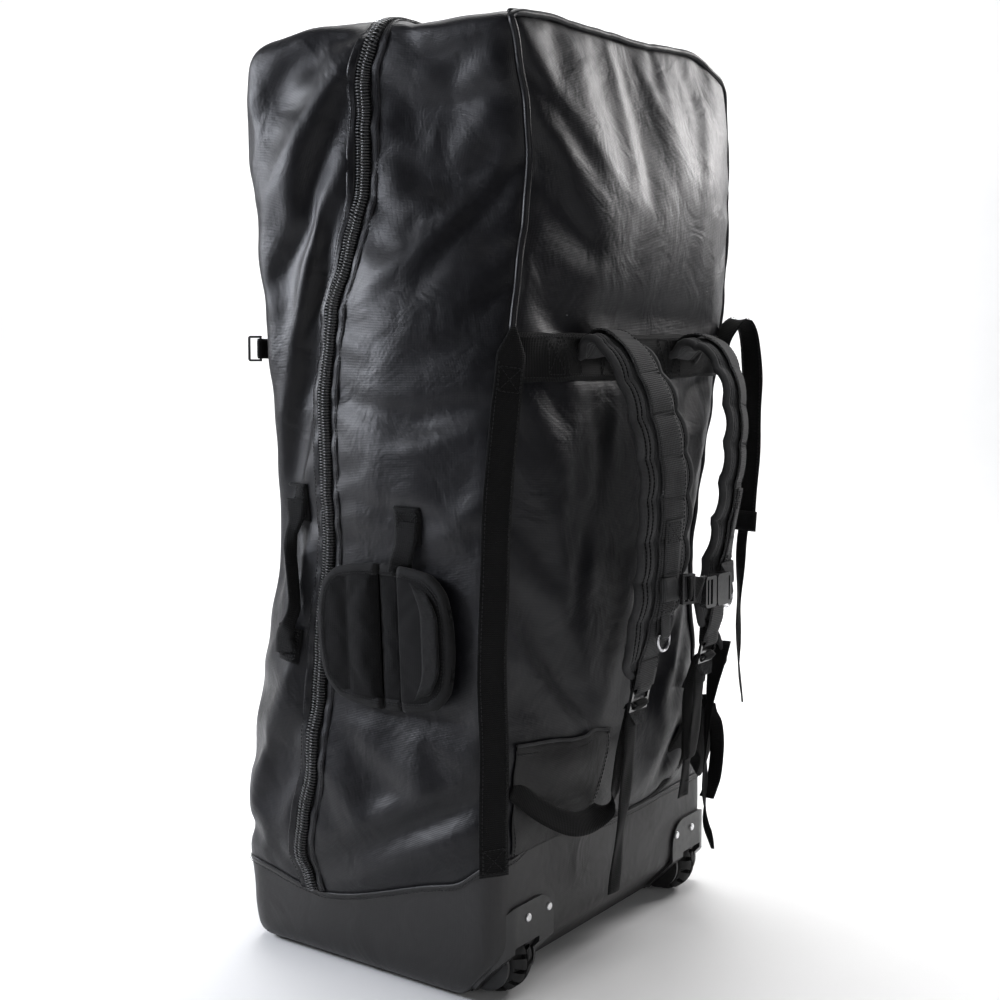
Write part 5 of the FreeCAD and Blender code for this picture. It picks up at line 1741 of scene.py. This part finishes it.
def wrap():
    lo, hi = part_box("wrap_core")
    f_lo, f_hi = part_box("wrap_flap_front")
    b_lo, b_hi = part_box("wrap_flap_back")
    cy, cz = (b_lo.y + f_hi.y) / 2, (lo.z + hi.z) / 2
    half_w, half_h, r = (f_hi.y - b_lo.y) / 2, (hi.z - lo.z) / 2, 0.052
    x_back, x_face = hi.x + 0.0006, lo.x

    def reach(y):
        d = abs(y - cy) - (half_w - r)
        return half_h - r + math.sqrt(max(1e-6, r * r - max(0.0, d) ** 2))

    def tilt(p):
        return Vector((p.x - 0.0016 * ((p.y - cy) / half_w) ** 2, p.y + (p.z - cz) * 0.045, p.z))

    def swell(y, w, grooves):
        edge = min(1.0, (1 - abs(w)) * reach(y) / 0.013)
        end = min(1.0, (half_w - abs(y - cy)) / 0.013)
        soft = 0.0026 * ease(edge) * ease(end)
        dip = sum(k * math.exp(-((y - g) / s) ** 2) for g, s, k in grooves)
        return soft - dip * ease(edge)

    creases = [(f_lo.y - 0.0004, 0.0028, 0.0045), (b_hi.y + 0.0002, 0.006, 0.0012),
               (cy + 0.046, 0.004, 0.0016), (cy + 0.026, 0.010, -0.0012), (cy - 0.028, 0.006, -0.0008)]
    pieces = {
        "wrap_core": (lo.y, hi.y, "back_grip", None),
        "wrap_flap_front": (f_lo.y, f_hi.y, "wrap_front", 1),
        "wrap_flap_back": (b_lo.y, b_hi.y, "wrap_back", -1)}
    outline = []
    count = 150
    for i in range(count):
        a = 2 * math.pi * i / count
        c, s = math.cos(a), math.sin(a)
        k = min((half_w - r) / max(1e-6, abs(c)), (half_h - r) / max(1e-6, abs(s)))
        base = Vector((0, clamp(c * 2, -1, 1) * (half_w - r), clamp(s * 2, -1, 1) * (half_h - r)))
        outline.append(Vector((0, cy, cz)) + base + Vector((0, c, s)) * r)
    for node, (y0, y1, body, way) in pieces.items():
        cols = []
        n = 30 if way else 8
        for i in range(n + 1):
            t = i / n
            if way == 1:
                t = math.sin(t * math.pi / 2) * 0.995
            elif way == -1:
                t = 1 - math.sin((1 - t) * math.pi / 2) * 0.995
            cols.append(lerp(y0 + 0.0001, y1 - 0.0001, t))
        rows = 34
        verts, faces, uvs, seams = [], [], [], []
        for layer in (0, 1):
            for y in cols:
                h = reach(y) - 0.001
                for k in range(rows + 1):
                    w = -1 + 2 * k / rows
                    w = math.sin(w * math.pi / 2) * 0.5 + w * 0.5
                    z = cz + w * h
                    if layer == 0:
                        x = x_face + 0.0022 - swell(y, w, creases) + (0.0 if way else 0.0042)
                        sewn = (1 - abs(w)) * h < 0.012 or half_w - abs(y - cy) < 0.012
                        sewn = sewn or any(abs(y - g) < 0.003 for g, _, d in creases if d > 0)
                    else:
                        x = x_back - 0.0008
                        sewn = True
                    if sewn:
                        seams.append(len(verts))
                    verts.append(tilt(Vector((x, y, z))))
                    uvs.append((y, z + layer))
        per = rows + 1
        half = len(cols) * per
        for i in range(len(cols) - 1):
            for k in range(rows):
                a = i * per + k
                faces.append((a, a + 1, a + per + 1, a + per))
                faces.append((half + a, half + a + per, half + a + per + 1, half + a + 1))
        rim = [i * per for i in range(len(cols))]
        rim += [(len(cols) - 1) * per + k for k in range(1, per)]
        rim += [i * per + rows for i in range(len(cols) - 2, -1, -1)]
        rim += [k for k in range(rows - 1, 0, -1)]
        for a, b in zip(rim, rim[1:] + rim[:1]):
            faces.append((a, b, half + b, half + a))
        o = make(node + "_cloth", verts, faces, "wrap", uvs)
        finish_normals(o)
        plump(o, seams, frames=10, pressure=3.0, cap=0.0022)
        subdivide(o)
        extras = []
        run = [p for p in outline if y0 - 0.0004 <= p.y <= y1 + 0.0004]
        runs, current = [], [run[0]]
        for a, b in zip(run, run[1:]):
            if (b - a).length > 0.02:
                runs.append(current)
                current = []
            current.append(b)
        runs.append(current)
        if len(runs) > 1 and (runs[0][0] - runs[-1][-1]).length < 0.02:
            runs[0] = runs.pop() + runs[0]
        profile = [(-0.0108, -0.0004), (-0.0106, 0.0010), (-0.006, 0.0019), (-0.001, 0.0013),
                   (0.0010, -0.0010), (0.0012, -0.0040), (0.0006, -0.0072), (-0.002, -0.0080),
                   (-0.009, -0.0078), (-0.0095, -0.0066)]
        for number, points in enumerate(runs):
            if len(points) < 2:
                continue
            inset = [Vector((x_face + (0.0016 if way else 0.0052), p.y, p.z)) for p in points]
            middle = Vector((x_face, cy, cz))
            t = (inset[1] - inset[0]).normalized()
            flip = 1 if t.cross(-X).dot(inset[0] - middle) > 0 else -1
            shape = [(a * flip, h) for a, h in profile]
            inset = [tilt(p) for p in inset]
            band_ = sweep(node + "_binding_%d" % number, inset, [-X] * len(inset), shape, "rim")
            rows_ = []
            for off in (0.0088, 0.0062):
                rows_.append([p + (middle - p).normalized() * off - X * 0.0026 for p in inset])
            sewn = thread(node + "_stitches_%d" % number, rows_, 0.0034)
            extras += [band_, sewn]
        if way == -1:
            verts, faces, uvs = [], [], []
            nx, nz = 7, 26
            for k in range(nz + 1):
                w = -1 + 2 * k / nz
                for i in range(nx + 1):
                    dz = max(0.0, abs(w) * (half_h - 0.014) - (half_h - r))
                    edge = b_lo.y + 0.0118 + (r - math.sqrt(r * r - dz * dz)) * 0.9
                    y = lerp(edge, edge + 0.021, i / nx)
                    z = cz + w * (half_h - 0.014) * lerp(0.86, 1.0, i / nx)
                    inside = i not in (0, nx) and k not in (0, nz)
                    x = x_face - 0.0014 - swell(y, w, creases) - 0.0010 * inside
                    verts.append(tilt(Vector((x + random.uniform(-0.0003, 0.0003), y, z))))
                    uvs.append((y, z))
            for k in range(nz):
                for i in range(nx):
                    a = k * (nx + 1) + i
                    faces.append((a, a + nx + 1, a + nx + 2, a + 1))
            pile = make("wrap_velcro_strip", verts, faces, "velcro", uvs)
            mod = pile.modifiers.new("Solidify", "SOLIDIFY")
            mod.thickness, mod.offset = 0.0022, -1
            apply_modifiers(pile)
            finish_normals(pile)
            extras.append(pile)
        for piece in [o] + extras:
            if way:
                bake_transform(piece)
            else:
                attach(piece, body)
            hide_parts(node)


wrap()


# ------------------------------------------------------------------ front ring tab and inner boards
def ring_tab():
    lo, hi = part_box("front_ring_tab")
    c = Vector((lo.x + 0.0044, hi.y - 0.0044, (lo.z + hi.z) / 2))
    width = hi.z - lo.z
    root, n = SKIN.snap((hi.x, hi.y + 0.02, c.z))
    path = [root + n * 0.003, SKIN.snap((c.x + 0.022, hi.y, c.z))[0] + Y * 0.0035,
            c + Vector((0.006, 0.0008, 0)), c + Vector((0.0, 0.0036, 0)),
            c + Vector((-0.0036, 0.0, 0)), c + Vector((0, -0.0036, 0)),
            c + Vector((0.006, -0.0026, 0)), SKIN.snap((c.x + 0.022, hi.y, c.z))[0] + Y * 0.0012,
            root + n * 0.001]
    o = strap("front_ring_tab_webbing", path, Z, width, 0.0017, step=0.002)
    ride(o, "front_half", "front_ring_tab", slot="webbing")
    lines = box_stitch(path[0].lerp(path[1], 0.3) + Y * 0.0018, X, Z, 0.016, width - 0.006)
    ride(thread("front_ring_tab_stitches", lines, 0.0032), "front_half", "front_ring_tab",
         slot="webbing")


ring_tab()


def board(name, node, rows, across, point, thick):
    """A flat stiffener kept inside the fabric."""
    verts = [point(c / across, r / rows) for r in range(rows + 1) for c in range(across + 1)]
    o = make(name, verts, grid_faces(rows, across), "board", [(v.x, v.y + v.z) for v in verts],
             smooth=False)
    mod = o.modifiers.new("Solidify", "SOLIDIFY")
    mod.thickness = thick
    mod.offset = 0
    apply_modifiers(o)
    ride(o, "bag", node, slot="board")


def back_board_point(u, w):
    lo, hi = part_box("back_board")
    z = lerp(lo.z, hi.z - 0.02, w)
    y = -HY + 0.0105
    x0 = table(NEAR_BACK, z) + 0.034
    x1 = table(FAR_BACK, z) - 0.034
    return Vector((lerp(x0, x1, u), y, z))


def base_board_point(u, w):
    lo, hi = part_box("base_board")
    x0, x1 = table(NEAR_FRONT, 0.03) + 0.024, table(FAR_FRONT, 0.03) - 0.024
    y = lerp(lo.y, hi.y - 0.024, w)
    shrink = 1 - 0.06 * (2 * abs(w - 0.5)) ** 6
    return Vector((lerp(x0, x1, u) * shrink, y, 0.0075))


board("back_board_sheet", "back_board", 24, 8, back_board_point, 0.004)
board("base_board_sheet", "base_board", 10, 12, base_board_point, 0.004)


# ------------------------------------------------------------------ finishes on the CAD nodes
FINISH = {"wheel_housing": "mould", "hub": "mould", "bush": "board", "tyre": "tyre", "axle": "steel",
          "rivets": "alloy", "ladder_lock": "buckle", "chest_triglide": "buckle",
          "chest_socket": "buckle", "chest_plug": "buckle", "d_ring": "steel",
          "front_ring": "dark", "zip_slider": "dark", "zip_pull": "dark"}
for name, node in NODES.items():
    for start, finish in FINISH.items():
        if name.startswith(start) and name != "front_ring_tab":
            node.data.materials.clear()
            node.data.materials.append(M[finish])

bpy.data.objects.remove(skin)
bpy.context.view_layer.update()
